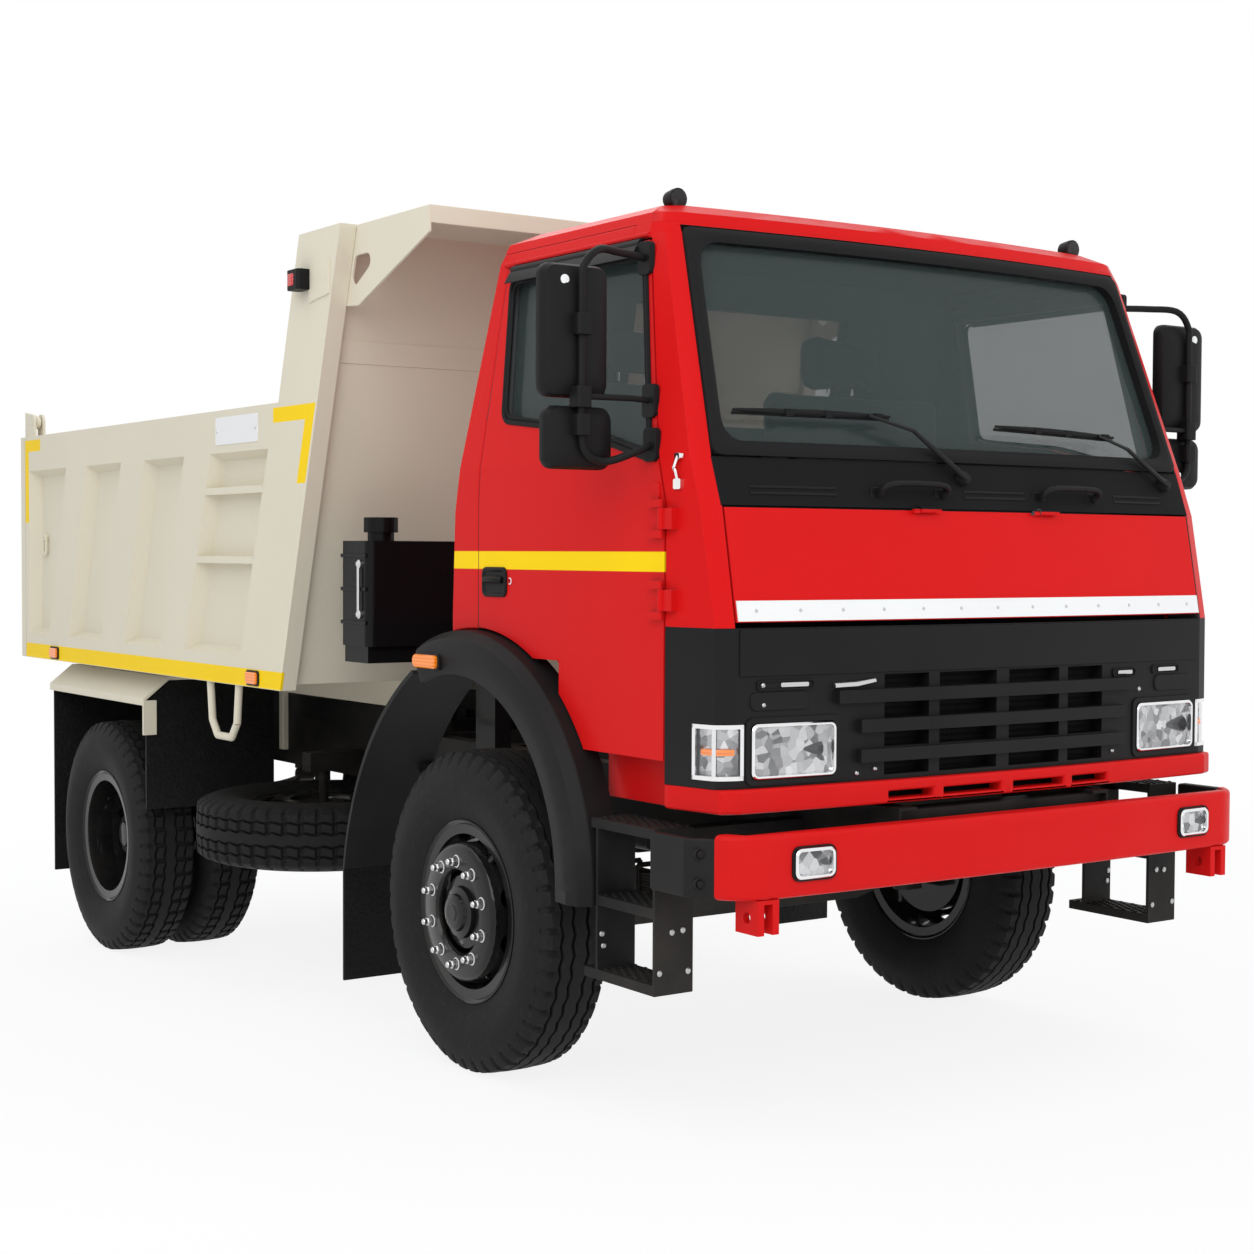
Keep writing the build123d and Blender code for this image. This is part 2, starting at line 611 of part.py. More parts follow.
# Spare wheel, slung flat under the right rail
def laid(profile):
    """A ring turned about the spare wheel's upright axis from (height, radius) points."""
    with BuildSketch(Plane(origin=(SPARE_X, SPARE_Y, SPARE_Z), x_dir=(0, 0, 1), z_dir=(0, 1, 0))) as section:
        with BuildLine():
            Polyline(*profile, close=True)
        make_face()
    revolve(section.sketch, axis=Axis((SPARE_X, SPARE_Y, SPARE_Z), (0, 0, 1)))


with BuildPart() as spare_tyre:
    laid(tyre_profile(0))
keep(spare_tyre, "spare_tyre")

with BuildPart() as spare_rim:
    laid(rim_profile(0))
    laid(
        [
            (25, barrel_radius + 2), (45, barrel_radius + 2), (DISC_FACE - 28, FACE_RADIUS),
            (DISC_FACE - 28, PILOT_RADIUS), (DISC_FACE - 28 - DISC_SHEET, PILOT_RADIUS),
            (DISC_FACE - 28 - DISC_SHEET, FACE_RADIUS - 8),
        ])
keep(spare_rim, "spare_rim")

# Fuel tank on the left rail
TANK_X = (480.0, 1010.0)
TANK_Y = (1050.0, 2150.0)
TANK_Z = (470.0, 930.0)
STRAP_SHEET = 30.0

with BuildPart() as fuel_tank:
    block(TANK_X, TANK_Y, TANK_Z)
    fillet(fuel_tank.edges().filter_by(Axis.Y), 60)
    for y in (TANK_Y[0] + 200, TANK_Y[1] - 200):
        block((FRAME_HALF, TANK_X[0] + 5), (y - 35, y + 35), (TANK_Z[0] + 60, FRAME_TOP - 20))
        block((FRAME_HALF, TANK_X[1] - 80), (y - 35, y + 35), (TANK_Z[0] - STRAP_SHEET, TANK_Z[0]))
        block(
            (FRAME_HALF, FRAME_HALF + STRAP_SHEET), (y - 35, y + 35),
            (TANK_Z[0] - STRAP_SHEET, FRAME_TOP - 20))
    with Locations((TANK_X[1] - 150, TANK_Y[0] + 80, TANK_Z[1] + 15)):
        Cylinder(55, 60)
keep(fuel_tank, "fuel_tank")

# Hoist oil tank behind the cab on the right
OIL_TANK_X = (-1060.0, -560.0)
OIL_TANK_Y = (750.0, 970.0)
OIL_TANK_Z = (1355.0, 1733.0)
OIL_CAP_X = -951.0

with BuildPart() as oil_tank:
    block(OIL_TANK_X, OIL_TANK_Y, OIL_TANK_Z)
    fillet(oil_tank.edges().filter_by(Axis.Z), 30)
    with Locations((OIL_CAP_X, sum(OIL_TANK_Y) / 2, OIL_TANK_Z[1] + 20)):
        Cylinder(48, 80)
    with Locations((OIL_CAP_X, sum(OIL_TANK_Y) / 2, OIL_TANK_Z[1] + 58)):
        Cylinder(62, 54)
    block(
        (OIL_TANK_X[0] + 10, -FRAME_HALF), (OIL_TANK_Y[0] + 20, OIL_TANK_Y[1] - 20),
        (OIL_TANK_Z[0] - 60, OIL_TANK_Z[0]))
    block(
        (-FRAME_HALF - 70, -FRAME_HALF), (OIL_TANK_Y[0] + 40, OIL_TANK_Y[1] - 40),
        (frame_bottom + 20, OIL_TANK_Z[0]))
keep(oil_tank, "oil_tank")

# Bumper: a bowed beam with turned corners, tow tabs, and black end caps along the sides
BUMPER_Z = (745.0, 925.0)
BUMPER_BOW = 23.0
BUMPER_END_X = 1068.0
BUMPER_END_Y = -1298.0
BUMPER_CORNER = 128.0    # how far in from its end a corner starts to turn
BUMPER_ROUND = 16.0
CAP_X = 1125.0
CAP_REAR = -1075.0
CAP_SHEET = 30.0
TOW_TAB_X = (902.0, 976.0)
TOW_TAB_BOTTOM = 648.0
TOW_PIN_RADIUS = 16.0
FOG_X = (722.0, 861.0)
FOG_Z = (796.0, 881.0)
# The rounded top edge of the raked bumper still reaches the truck's nose
bumper_nose = nose_y - BUMPER_ROUND * (tip_sin + tip_cos - 1) / tip_cos
bumper_corner_x = BUMPER_END_X - BUMPER_CORNER
bumper_corner_y = bumper_nose + BUMPER_BOW

with BuildPart() as bumper:
    with BuildSketch(Plane.XY.offset(BUMPER_Z[0])) as plan:
        with BuildLine():
            front = ThreePointArc(
                (-bumper_corner_x, bumper_corner_y), (0, bumper_nose), (bumper_corner_x, bumper_corner_y))
            TangentArc(front @ 1, (BUMPER_END_X, BUMPER_END_Y), tangent=front % 1)
            TangentArc(front @ 0, (-BUMPER_END_X, BUMPER_END_Y), tangent=-(front % 0))
            Polyline(
                (BUMPER_END_X, BUMPER_END_Y), (BUMPER_END_X - 40, BUMPER_END_Y),
                (BUMPER_END_X - 70, FRAME_FRONT), (-BUMPER_END_X + 70, FRAME_FRONT),
                (-BUMPER_END_X + 40, BUMPER_END_Y), (-BUMPER_END_X, BUMPER_END_Y),
            )
        make_face()
    extrude(plan.sketch, amount=BUMPER_Z[1] - BUMPER_Z[0])
    fillet(bumper.edges().filter_by(GeomType.CIRCLE), BUMPER_ROUND)
    for side in (-1, 1):
        block((side * FOG_X[0], side * FOG_X[1]), (nose_y - 20, FRAME_FRONT - 8), FOG_Z, Mode.SUBTRACT)
        tab = (side * TOW_TAB_X[0], side * TOW_TAB_X[1])
        block(tab, (FRAME_FRONT - 25, FRAME_FRONT + 75), (TOW_TAB_BOTTOM, BUMPER_Z[0]))
        cross_pin(
            (side * TOW_TAB_X[0] - 80, side * TOW_TAB_X[0] + 80), FRAME_FRONT + 25, TOW_TAB_BOTTOM + 45,
            TOW_PIN_RADIUS, Mode.SUBTRACT)
        block(
            (side * (TOW_TAB_X[0] + 22), side * (TOW_TAB_X[1] - 22)), (FRAME_FRONT - 26, FRAME_FRONT + 76),
            (TOW_TAB_BOTTOM - 1, BUMPER_Z[0] - 12), Mode.SUBTRACT)
keep(bumper, "bumper")

with BuildPart() as bumper_caps:
    plan_prism(
        (
            (-BUMPER_END_X, BUMPER_END_Y), (-CAP_X, BUMPER_END_Y + 60), (-CAP_X, CAP_REAR),
            (-CAP_X + CAP_SHEET, CAP_REAR), (-CAP_X + CAP_SHEET, BUMPER_END_Y + 60), (
                -BUMPER_END_X + 38, BUMPER_END_Y),
        ),
        (BUMPER_Z[0] + 6, BUMPER_Z[1] - 12))
    mirror(about=Plane.YZ)
keep(bumper_caps, "bumper_caps")

# Steps under the doors, on a bracket from each rail
STEP_X = (965.0, 1100.0)
STEP_FRONT = -1065.0
STEP_TREADS = (
    # top, rear edge
    (470.0, -705.0), (690.0, -765.0), (915.0, -740.0),
)
STEP_SHEET = 30.0
STEP_PLATE = 12.0

with BuildPart() as cab_steps:
    x = (-STEP_X[1], -STEP_X[0])
    lowest, highest = STEP_TREADS[0][0], STEP_TREADS[-1][0]
    for top, rear in STEP_TREADS:
        block(x, (STEP_FRONT, rear), (top - STEP_SHEET, top))
    for y in (STEP_FRONT, STEP_TREADS[1][1] - STEP_PLATE):
        block(x, (y, y + STEP_PLATE), (lowest - STEP_SHEET, highest))
    block((-STEP_X[0] - 10, -FRAME_HALF), (-920, -850), (highest - 90, highest - STEP_SHEET))
    mirror(about=Plane.YZ)
keep(cab_steps, "cab_steps")

# Flares over the front wheels, turned about the arch's centre
FLARE_SECTION = (
    # x, radius
    (1004, ARCH_RADIUS), (1100, ARCH_RADIUS - 4), (1138, ARCH_RADIUS - 30), (1150, ARCH_RADIUS - 75),
    (1142, 607), (1116, 612), (1124, ARCH_RADIUS - 78), (1104, ARCH_RADIUS - 36), (1004, ARCH_RADIUS - 26),
)
FLARE_BACK = 21.0        # how far behind the crown the flare reaches, degrees
FLARE_FOOT = 650.0

with BuildPart() as front_flares:
    outline = [(-x, radius) for x, radius in FLARE_SECTION]
    start = Plane(origin=(0, 0, ARCH_HEIGHT), x_dir=(1, 0, 0), z_dir=(0, 0, 1))
    with BuildSketch(start) as section:
        with BuildLine():
            Polyline(*[(x, -radius) for x, radius in outline], close=True)
        make_face()
    revolve(
        section.sketch, axis=Axis((0, 0, ARCH_HEIGHT), (-1, 0, 0)), revolution_arc=90 + FLARE_BACK)
    extrude(section.sketch, amount=FLARE_FOOT - ARCH_HEIGHT)
    mirror(about=Plane.YZ)
keep(front_flares, "front_flares")

# Mudguards behind the front wheels, with their stays and flaps
GUARD_X = (850.0, 1130.0)
GUARD_ARC = ((290.0, 1285.0), (628.0, 980.0), (800.0, 560.0))
GUARD_SHEET = 12.0
FLAP_BOTTOM = 160.0
FLAP_SHEET = 12.0

with BuildPart() as front_guards:
    with BuildSketch(Plane.YZ.offset(-GUARD_X[1])) as arc:
        with BuildLine():
            ThreePointArc(*GUARD_ARC)
            Line(GUARD_ARC[2], (GUARD_ARC[2][0] + GUARD_SHEET, GUARD_ARC[2][1]))
            ThreePointArc(
                *[(y + GUARD_SHEET, z + (GUARD_SHEET if z > 570 else 0)) for y, z in reversed(GUARD_ARC)])
            Line((GUARD_ARC[0][0] + GUARD_SHEET, GUARD_ARC[0][1] + GUARD_SHEET), GUARD_ARC[0])
        make_face()
    extrude(arc.sketch, amount=GUARD_X[1] - GUARD_X[0])
    stay = GUARD_ARC[1]
    cross_pin((-GUARD_X[0] - 40, -FRAME_HALF), stay[0] + 30, FRAME_TOP - 40, 22)
    mirror(about=Plane.YZ)
keep(front_guards, "front_guards")

# Rear mudguards: a flat top, a sloping outer leaf and a short lip
REAR_GUARD_Y = (2690.0, 3900.0)
REAR_GUARD_X = (500.0, 1030.0, 1140.0)
REAR_GUARD_Z = (1055.0, 1145.0)
REAR_GUARD_SHEET = 14.0

with BuildPart() as rear_guards:
    s = REAR_GUARD_SHEET
    inner, knee, lip = (-x for x in REAR_GUARD_X)
    low, high = REAR_GUARD_Z
    front_prism(
        (
            (inner, high), (knee, high), (lip, low), (lip, low - 32), (lip + s, low - 32), (
                lip + s, low - s / 2),
            (knee + s / 2, high - s), (inner, high - s),
        ),
        REAR_GUARD_Y)
    block((lip, lip + 60), (REAR_GUARD_Y[0], REAR_GUARD_Y[0] + s), (low - 160, low - 10))
    for y in (REAR_GUARD_Y[0] + 60, REAR_GUARD_Y[1] - 260):
        block((inner - 80, -FRAME_HALF), (y - 25, y + 25), (high - s - 45, high - s))
        block((-FRAME_HALF - 22, -FRAME_HALF), (y - 25, y + 25), (frame_bottom + 60, high - s))
    mirror(about=Plane.YZ)
keep(rear_guards, "rear_guards")

with BuildPart() as mud_flaps:
    guard_foot = GUARD_ARC[2]
    block(
        (-GUARD_X[1], -GUARD_X[0]), (guard_foot[0], guard_foot[0] + FLAP_SHEET), (FLAP_BOTTOM, guard_foot[1]))
    flap_x = (-REAR_GUARD_X[2] + REAR_GUARD_SHEET + 4, -REAR_GUARD_X[0] - 20)
    flap_top = REAR_GUARD_Z[0] - 20
    for y, bottom in (
        (REAR_GUARD_Y[0] + REAR_GUARD_SHEET, 570), (REAR_GUARD_Y[1] - FLAP_SHEET, FLAP_BOTTOM - 10)):
        block(flap_x, (y, y + FLAP_SHEET), (bottom, flap_top))
        front_prism(
            (
                (flap_x[0], flap_top), (flap_x[1], flap_top), (flap_x[1], REAR_GUARD_Z[1] - REAR_GUARD_SHEET),
                (-REAR_GUARD_X[1] + 20, REAR_GUARD_Z[1] - REAR_GUARD_SHEET),
            ),
            (y, y + FLAP_SHEET))
    mirror(about=Plane.YZ)
keep(mud_flaps, "mud_flaps")

# Tail: lamp bar on the frame's end, with its lamps and a towing jaw
TAIL_BAR_Z = (690.0, 800.0)
TAIL_BAR_HALF = 1010.0
TAIL_BAR_DEPTH = 60.0
TAIL_LAMP_X = (640.0, 960.0)
JAW_HALF = 45.0
JAW_PIN_RADIUS = 20.0

with BuildPart() as tail_bar:
    bar_y = (frame_rear, frame_rear + TAIL_BAR_DEPTH)
    block((-TAIL_BAR_HALF, TAIL_BAR_HALF), bar_y, TAIL_BAR_Z)
    for side in (-1, 1):
        block((side * (FRAME_HALF - 60), side * FRAME_HALF), bar_y, (TAIL_BAR_Z[0], frame_bottom + 120))
        block((side * 18, side * JAW_HALF), (bar_y[1], bar_y[1] + 110), TAIL_BAR_Z)
    cross_pin(
        (-JAW_HALF - 1, JAW_HALF + 1), bar_y[1] + 60, sum(TAIL_BAR_Z) / 2, JAW_PIN_RADIUS, Mode.SUBTRACT)
keep(tail_bar, "tail_bar")

with BuildPart() as tail_lamps:
    for side in (-1, 1):
        block(
            (side * TAIL_LAMP_X[0], side * TAIL_LAMP_X[1]), (
                frame_rear + TAIL_BAR_DEPTH, frame_rear + TAIL_BAR_DEPTH + 45),
            (TAIL_BAR_Z[0] + 5, TAIL_BAR_Z[1] - 5))
    fillet(tail_lamps.edges().filter_by(Axis.Y), 15)
keep(tail_lamps, "tail_lamps")

# Cab shell, split where its panels meet
shell_outer = cab_form()
shell_inner = cab_form(CAB_WALL)
PILLAR_TOP_Y = -780.0    # where the front pillar meets the side over the door
door_line = (
    (-3000, 0), (DOOR_FRONT, 0), *door_outline[1:3], (PILLAR_TOP_Y, DOOR_TOP + 2),
    (PILLAR_TOP_Y, CAB_ROOF_SPLIT + 30), (-3000, 3000),
)
CAB_SIDE = 1300.0        # beyond any cab panel
BACK_ZONE = -110.0       # ahead of the rear wall


def shell(outer=shell_outer, inner=shell_inner):
    """The hollow cab, open below."""
    add(outer)
    add(inner, mode=Mode.SUBTRACT)
    block((-CAB_SIDE, CAB_SIDE), (-1500, 400), (0, FASCIA_BOTTOM), Mode.SUBTRACT)
    cross_pin((-CAB_SIDE, CAB_SIDE), 0, ARCH_HEIGHT, ARCH_RADIUS, Mode.SUBTRACT)
    block((-CAB_SIDE, CAB_SIDE), (-500, 400), (0, ARCH_HEIGHT + ARCH_RADIUS - 80), Mode.SUBTRACT)


def ahead_of_door(mode):
    """Everything ahead of the doors' front edges."""
    side_prism(door_line, (-CAB_SIDE, CAB_SIDE), mode)


def doorways(mode, gap=0.0):
    """The two doors' outlines, grown by the running gap round them."""
    grown(door_outline, gap, Plane.YZ.offset(-CAB_SIDE), 2 * CAB_SIDE, mode)


with BuildPart() as cab_roof:
    shell()
    block((-CAB_SIDE, CAB_SIDE), (-1500, 400), (CAB_ROOF_SPLIT, 3000), Mode.INTERSECT)
keep(cab_roof, "cab_roof")

DOOR_HINGE_X = 1073.0
DOOR_HINGE_Y = -1048.0
DOOR_HINGE_Z = (1560.0, 1790.0)
FLAP_HINGE_X = 250.0
FLAP_HINGE_Y = -1253.0
FLAP_HINGE_Z = 1825.0
HINGE_BARREL = 10.0
HINGE_ROD = 5.0
HINGE_HALF = 30.0        # half length of a hinge's barrel
HINGE_LEAF = 25.0        # length of a leaf beyond the barrel

with BuildPart() as cab_front:
    shell()
    ahead_of_door(Mode.INTERSECT)
    block((-CAB_SIDE, CAB_SIDE), (-1500, 400), (FASCIA_TOP, CAB_ROOF_SPLIT), Mode.INTERSECT)
    doorways(Mode.SUBTRACT, MOVE_GAP)
    block(
        (-FLAP_HALF - MOVE_GAP, FLAP_HALF + MOVE_GAP), (-1500, -1000), (FASCIA_TOP, FLAP_TOP + MOVE_GAP),
        Mode.SUBTRACT)
    front_prism(screen_outline, (-1500, -600), Mode.SUBTRACT)
    for side in (-1, 1):
        x, y = side * DOOR_HINGE_X, DOOR_HINGE_Y
        for z in DOOR_HINGE_Z:
            bar((x, y, z - HINGE_HALF), (x, y, z + HINGE_HALF), HINGE_BARREL)
            block((x - side * 30, x), (y - 50, y - HINGE_BARREL + 4), (z - HINGE_HALF, z + HINGE_HALF))
            bar((x, y, z - HINGE_HALF), (x, y, z + HINGE_HALF), HINGE_ROD + PIN_CLEARANCE, Mode.SUBTRACT)
        x = side * FLAP_HINGE_X
        x = (x - HINGE_HALF, x + HINGE_HALF)
        y, z = FLAP_HINGE_Y, FLAP_HINGE_Z
        cross_pin(x, y, z, HINGE_BARREL)
        block(x, (y, y + 40), (z + MOVE_GAP, z + HINGE_BARREL))
        cross_pin(x, y, z, HINGE_ROD + PIN_CLEARANCE, Mode.SUBTRACT)
keep(cab_front, "cab_front")

with BuildPart() as cab_sides:
    shell()
    ahead_of_door(Mode.SUBTRACT)
    block(
        (-CAB_SIDE, CAB_SIDE), (-1500, 400), (ARCH_HEIGHT + ARCH_RADIUS / 2, CAB_ROOF_SPLIT),
        Mode.INTERSECT)
    doorways(Mode.SUBTRACT, MOVE_GAP)
    back_zone = (
        (-1010, 0), (1010, 0), (1010, 1960), (935, CAB_ROOF_SPLIT), (-935, CAB_ROOF_SPLIT), (-1010, 1960))
    front_prism(back_zone, (BACK_ZONE, 400), Mode.SUBTRACT)
keep(cab_sides, "cab_sides")

BACK_WINDOW_HALF = 470.0
BACK_WINDOW_Z = (2140.0, 2540.0)
with BuildPart() as cab_back:
    shell()
    front_prism(back_zone, (BACK_ZONE, 400), Mode.INTERSECT)
    block((-BACK_WINDOW_HALF, BACK_WINDOW_HALF), (-700, 400), BACK_WINDOW_Z, Mode.SUBTRACT)
keep(cab_back, "cab_back")

# Front fascia with its grille slots and lamp openings, and the lamps that fill them
GRILLE_COLUMNS = (
    # middle, width
    (-364.0, 170.0), (-121.0, 232.0), (158.0, 220.0), (388.0, 160.0),
)
GRILLE_ROWS = (1077.0, 1159.0, 1241.0, 1323.0)
GRILLE_SLOT = 46.0
GRILLE_SLATS = (
    # middle height, right end, left end
    (1114.0, -554.0, 553.0), (1200.0, -552.0, 560.0), (1286.0, -633.0, 604.0),
)
SLAT_HEIGHT = 38.0
SLAT_STEP = 24.0         # how far the slats stand out from the fascia
HEADLAMP_X = (632.0, 922.0)
HEADLAMP_Z = (1064.0, 1219.0)
TURN_LAMP_X = 942.0
TURN_LAMP_REAR = -1155.0
LAMP_DEPTH = 50.0

with BuildPart() as slats:
    for z, right, left in GRILLE_SLATS:
        block((right, left), (-1500, -1000), (z - SLAT_HEIGHT / 2, z + SLAT_HEIGHT / 2))
    add(cab_form(-SLAT_STEP), mode=Mode.INTERSECT)
    add(shell_inner, mode=Mode.SUBTRACT)

with BuildPart() as fascia:
    shell()
    ahead_of_door(Mode.INTERSECT)
    block((-CAB_SIDE, CAB_SIDE), (-1500, DOOR_FRONT - MOVE_GAP), (FASCIA_BOTTOM, FASCIA_TOP), Mode.INTERSECT)
    for z in GRILLE_ROWS:
        for x, width in GRILLE_COLUMNS:
            slot = (x - width / 2, x + width / 2)
            block(slot, (-1500, -1000), (z - GRILLE_SLOT / 2, z + GRILLE_SLOT / 2), Mode.SUBTRACT)
    add(slats.part)
    for side in (-1, 1):
        block((side * HEADLAMP_X[0], side * HEADLAMP_X[1]), (-1500, -1000), HEADLAMP_Z, Mode.SUBTRACT)
        block((side * TURN_LAMP_X, side * CAB_SIDE), (-1500, TURN_LAMP_REAR), HEADLAMP_Z, Mode.SUBTRACT)
keep(fascia, "fascia")

ROOF_LAMP_X = 839.0
ROOF_LAMP_Y = -780.0
ROOF_LAMP_Z = (2655.0, 2775.0)
ROOF_LAMP = (46.0, 90.0)

with BuildPart() as roof_lamps:
    for side in (-1, 1):
        with Locations((side * ROOF_LAMP_X, ROOF_LAMP_Y, sum(ROOF_LAMP_Z) / 2)):
            Box(*ROOF_LAMP, ROOF_LAMP_Z[1] - ROOF_LAMP_Z[0])
    fillet(roof_lamps.edges().filter_by(Axis.Z), 20)
    add(shell_outer, mode=Mode.SUBTRACT)

with BuildPart() as front_lamps:
    add(shell_outer)
    add(cab_form(LAMP_DEPTH), mode=Mode.SUBTRACT)
    block((-CAB_SIDE, CAB_SIDE), (-1500, TURN_LAMP_REAR), HEADLAMP_Z, Mode.INTERSECT)
    block((-HEADLAMP_X[0], HEADLAMP_X[0]), (-1500, -1000), HEADLAMP_Z, Mode.SUBTRACT)
    for side in (-1, 1):
        block((side * HEADLAMP_X[1], side * TURN_LAMP_X), (-1500, -1000), HEADLAMP_Z, Mode.SUBTRACT)
        block((side * FOG_X[0], side * FOG_X[1]), (nose_y + 8, FRAME_FRONT - 8), FOG_Z)
    add(roof_lamps.part)
keep(front_lamps, "front_lamps")

VALANCE_Z = (972.0, FASCIA_BOTTOM)
VALANCE_STEP = 25.0      # how far it stands out from the fascia
VALANCE_SLOT = 22.0
with BuildPart() as valance:
    with Locations((0, -VALANCE_STEP, 0)):
        add(shell_outer)
    add(cab_form(CAB_WALL - 20), mode=Mode.SUBTRACT)
    block((-CAB_SIDE, CAB_SIDE), (-1500, DOOR_FRONT - MOVE_GAP), VALANCE_Z, Mode.INTERSECT)
    for x, width in GRILLE_COLUMNS:
        slot = (x - width / 2, x + width / 2)
        block(slot, (-1500, -1000), (VALANCE_Z[0] + 14, VALANCE_Z[0] + 14 + VALANCE_SLOT), Mode.SUBTRACT)
keep(valance, "valance")

with BuildPart() as front_flap:
    shell()
    block((-FLAP_HALF, FLAP_HALF), (-1500, -1000), (FASCIA_TOP + FLAP_SWING_GAP, FLAP_TOP), Mode.INTERSECT)
    for side in (-1, 1):
        reach = HINGE_HALF + HINGE_LEAF
        x, y, z = side * FLAP_HINGE_X, FLAP_HINGE_Y, FLAP_HINGE_Z
        cross_pin((x - reach, x + reach), y, z, HINGE_ROD)
        for way in (-1, 1):
            near, far = x + way * (HINGE_HALF + 2), x + way * reach
            block((near, far), (y - HINGE_ROD, y + 30), (z - HINGE_BARREL, z - 3))
            cross_pin((near, far), y, z, HINGE_ROD)
keep(front_flap, "front_flap")

# Glass and its seal
with BuildPart() as screen_seal:
    shell()
    ahead_of_door(Mode.INTERSECT)
    front_prism(screen_outline, (-1500, -600), Mode.INTERSECT)
    grown(screen_outline, -SCREEN_SEAL, Plane.XZ.offset(1500), -900, Mode.SUBTRACT)
keep(screen_seal, "screen_seal")

GLASS_INSET = 22.0
glass_outer = cab_form(GLASS_INSET)
glass_inner = cab_form(GLASS_INSET + GLASS)
with BuildPart() as cab_glass:
    grown(screen_outline, -SCREEN_SEAL, Plane.XZ.offset(1500), -900, Mode.ADD)
    block((-BACK_WINDOW_HALF, BACK_WINDOW_HALF), (BACK_ZONE, 400), BACK_WINDOW_Z)
    add(glass_outer, mode=Mode.INTERSECT)
    add(glass_inner, mode=Mode.SUBTRACT)
keep(cab_glass, "cab_glass")

# Cab floor: two footwells beside the engine tunnel, the raised seat platform and the front bulkhead
TUNNEL_HALF = 370.0
TUNNEL_TOP = 1370.0
FLOOR_HALF = 970.0
RISER_Y = -640.0
FIREWALL_Y = (-1118.0, -1086.0)
FIREWALL_TOP = 1800.0

with BuildPart() as cab_floor:
    sheet = FLOOR_SHEET
    front_prism(
        (
            (-FLOOR_HALF, CAB_FLOOR), (-TUNNEL_HALF, CAB_FLOOR), (-TUNNEL_HALF, TUNNEL_TOP), (
                TUNNEL_HALF, TUNNEL_TOP),
            (TUNNEL_HALF, CAB_FLOOR), (FLOOR_HALF, CAB_FLOOR), (FLOOR_HALF, CAB_FLOOR - sheet),
            (TUNNEL_HALF - sheet, CAB_FLOOR - sheet), (TUNNEL_HALF - sheet, TUNNEL_TOP - sheet),
            (-TUNNEL_HALF + sheet, TUNNEL_TOP - sheet), (-TUNNEL_HALF + sheet, CAB_FLOOR - sheet),
            (-FLOOR_HALF, CAB_FLOOR - sheet),
        ),
        (FIREWALL_Y[0], RISER_Y))
    side_prism(
        (
            (RISER_Y - sheet, CAB_FLOOR - sheet), (RISER_Y - sheet, CAB_PLATFORM), (200, CAB_PLATFORM),
            (200, CAB_PLATFORM - sheet), (-200, CAB_PLATFORM - sheet), (RISER_Y, CAB_FLOOR + 60), (
                RISER_Y, CAB_FLOOR - sheet),
        ),
        (-FLOOR_HALF, FLOOR_HALF))
    block(
        (-TUNNEL_HALF + sheet, TUNNEL_HALF - sheet), (RISER_Y - sheet - 1, 0), (0, TUNNEL_TOP - sheet),
        Mode.SUBTRACT)
    block((-FLOOR_HALF, FLOOR_HALF), FIREWALL_Y, (CAB_FLOOR - sheet, FIREWALL_TOP))
    block(
        (-TUNNEL_HALF + sheet, TUNNEL_HALF - sheet), (-1300, FIREWALL_Y[1]), (0, TUNNEL_TOP - sheet),
        Mode.SUBTRACT)
    for side in (-1, 1):
        block(
            (side * (FLOOR_HALF - 30), side * FLOOR_HALF), (FIREWALL_Y[0], RISER_Y),
            (930, CAB_FLOOR - sheet))
        block((side * FLOOR_HALF, side * CAB_SIDE), FIREWALL_Y, (FASCIA_BOTTOM, FIREWALL_TOP))
    add(shell_inner, mode=Mode.INTERSECT)
keep(cab_floor, "cab_floor")

# Dashboard, steering wheel and seats; the driver sits on the right
DRIVER_X = -540.0
MATE_X = 430.0
DASH_SIDE = (
    (FIREWALL_Y[1], 1500), (FIREWALL_Y[1], 1800), (-1010, 1842), (-850, 1800), (-800, 1700), (-870, 1500))
DASH_HALF = 985.0
WHEEL_CENTRE = (DRIVER_X, -640.0, 1905.0)
WHEEL_RADIUS = 235.0
WHEEL_TILT = 32.0

with BuildPart() as dashboard:
    side_prism(DASH_SIDE, (-DASH_HALF, DASH_HALF))
    side_prism(
        ((-1010, 1842), (-960, 1950), (-870, 1935), (-850, 1800)), (DRIVER_X - 230, DRIVER_X + 230))
    add(shell_inner, mode=Mode.INTERSECT)
keep(dashboard, "dashboard")

with BuildPart() as steering_wheel:
    disc = Plane(
        origin=WHEEL_CENTRE, x_dir=(1, 0, 0),
        z_dir=(0, sin(radians(WHEEL_TILT)), cos(radians(WHEEL_TILT))))
    with BuildSketch(Plane(origin=WHEEL_CENTRE, x_dir=disc.x_dir, z_dir=disc.y_dir)) as rim_section:
        with Locations((WHEEL_RADIUS, 0)):
            Circle(17)
    revolve(rim_section.sketch, axis=Axis(WHEEL_CENTRE, disc.z_dir))
    with BuildSketch(disc.offset(-12)) as spokes:
        Circle(70)
        for turn in (-90, 20, 160):
            with Locations(Rotation(0, 0, turn)):
                with Locations((WHEEL_RADIUS / 2, 0)):
                    Rectangle(WHEEL_RADIUS, 46)
    extrude(spokes.sketch, amount=22)
    bar(tuple(disc.from_local_coords(Vector(0, 0, -330))), WHEEL_CENTRE, 30)
    add(dashboard.part.moved(STANCE.inverse()), mode=Mode.SUBTRACT)
    block((-900, -100), (-1500, -870), (0, 1760), Mode.SUBTRACT)
keep(steering_wheel, "steering_wheel")

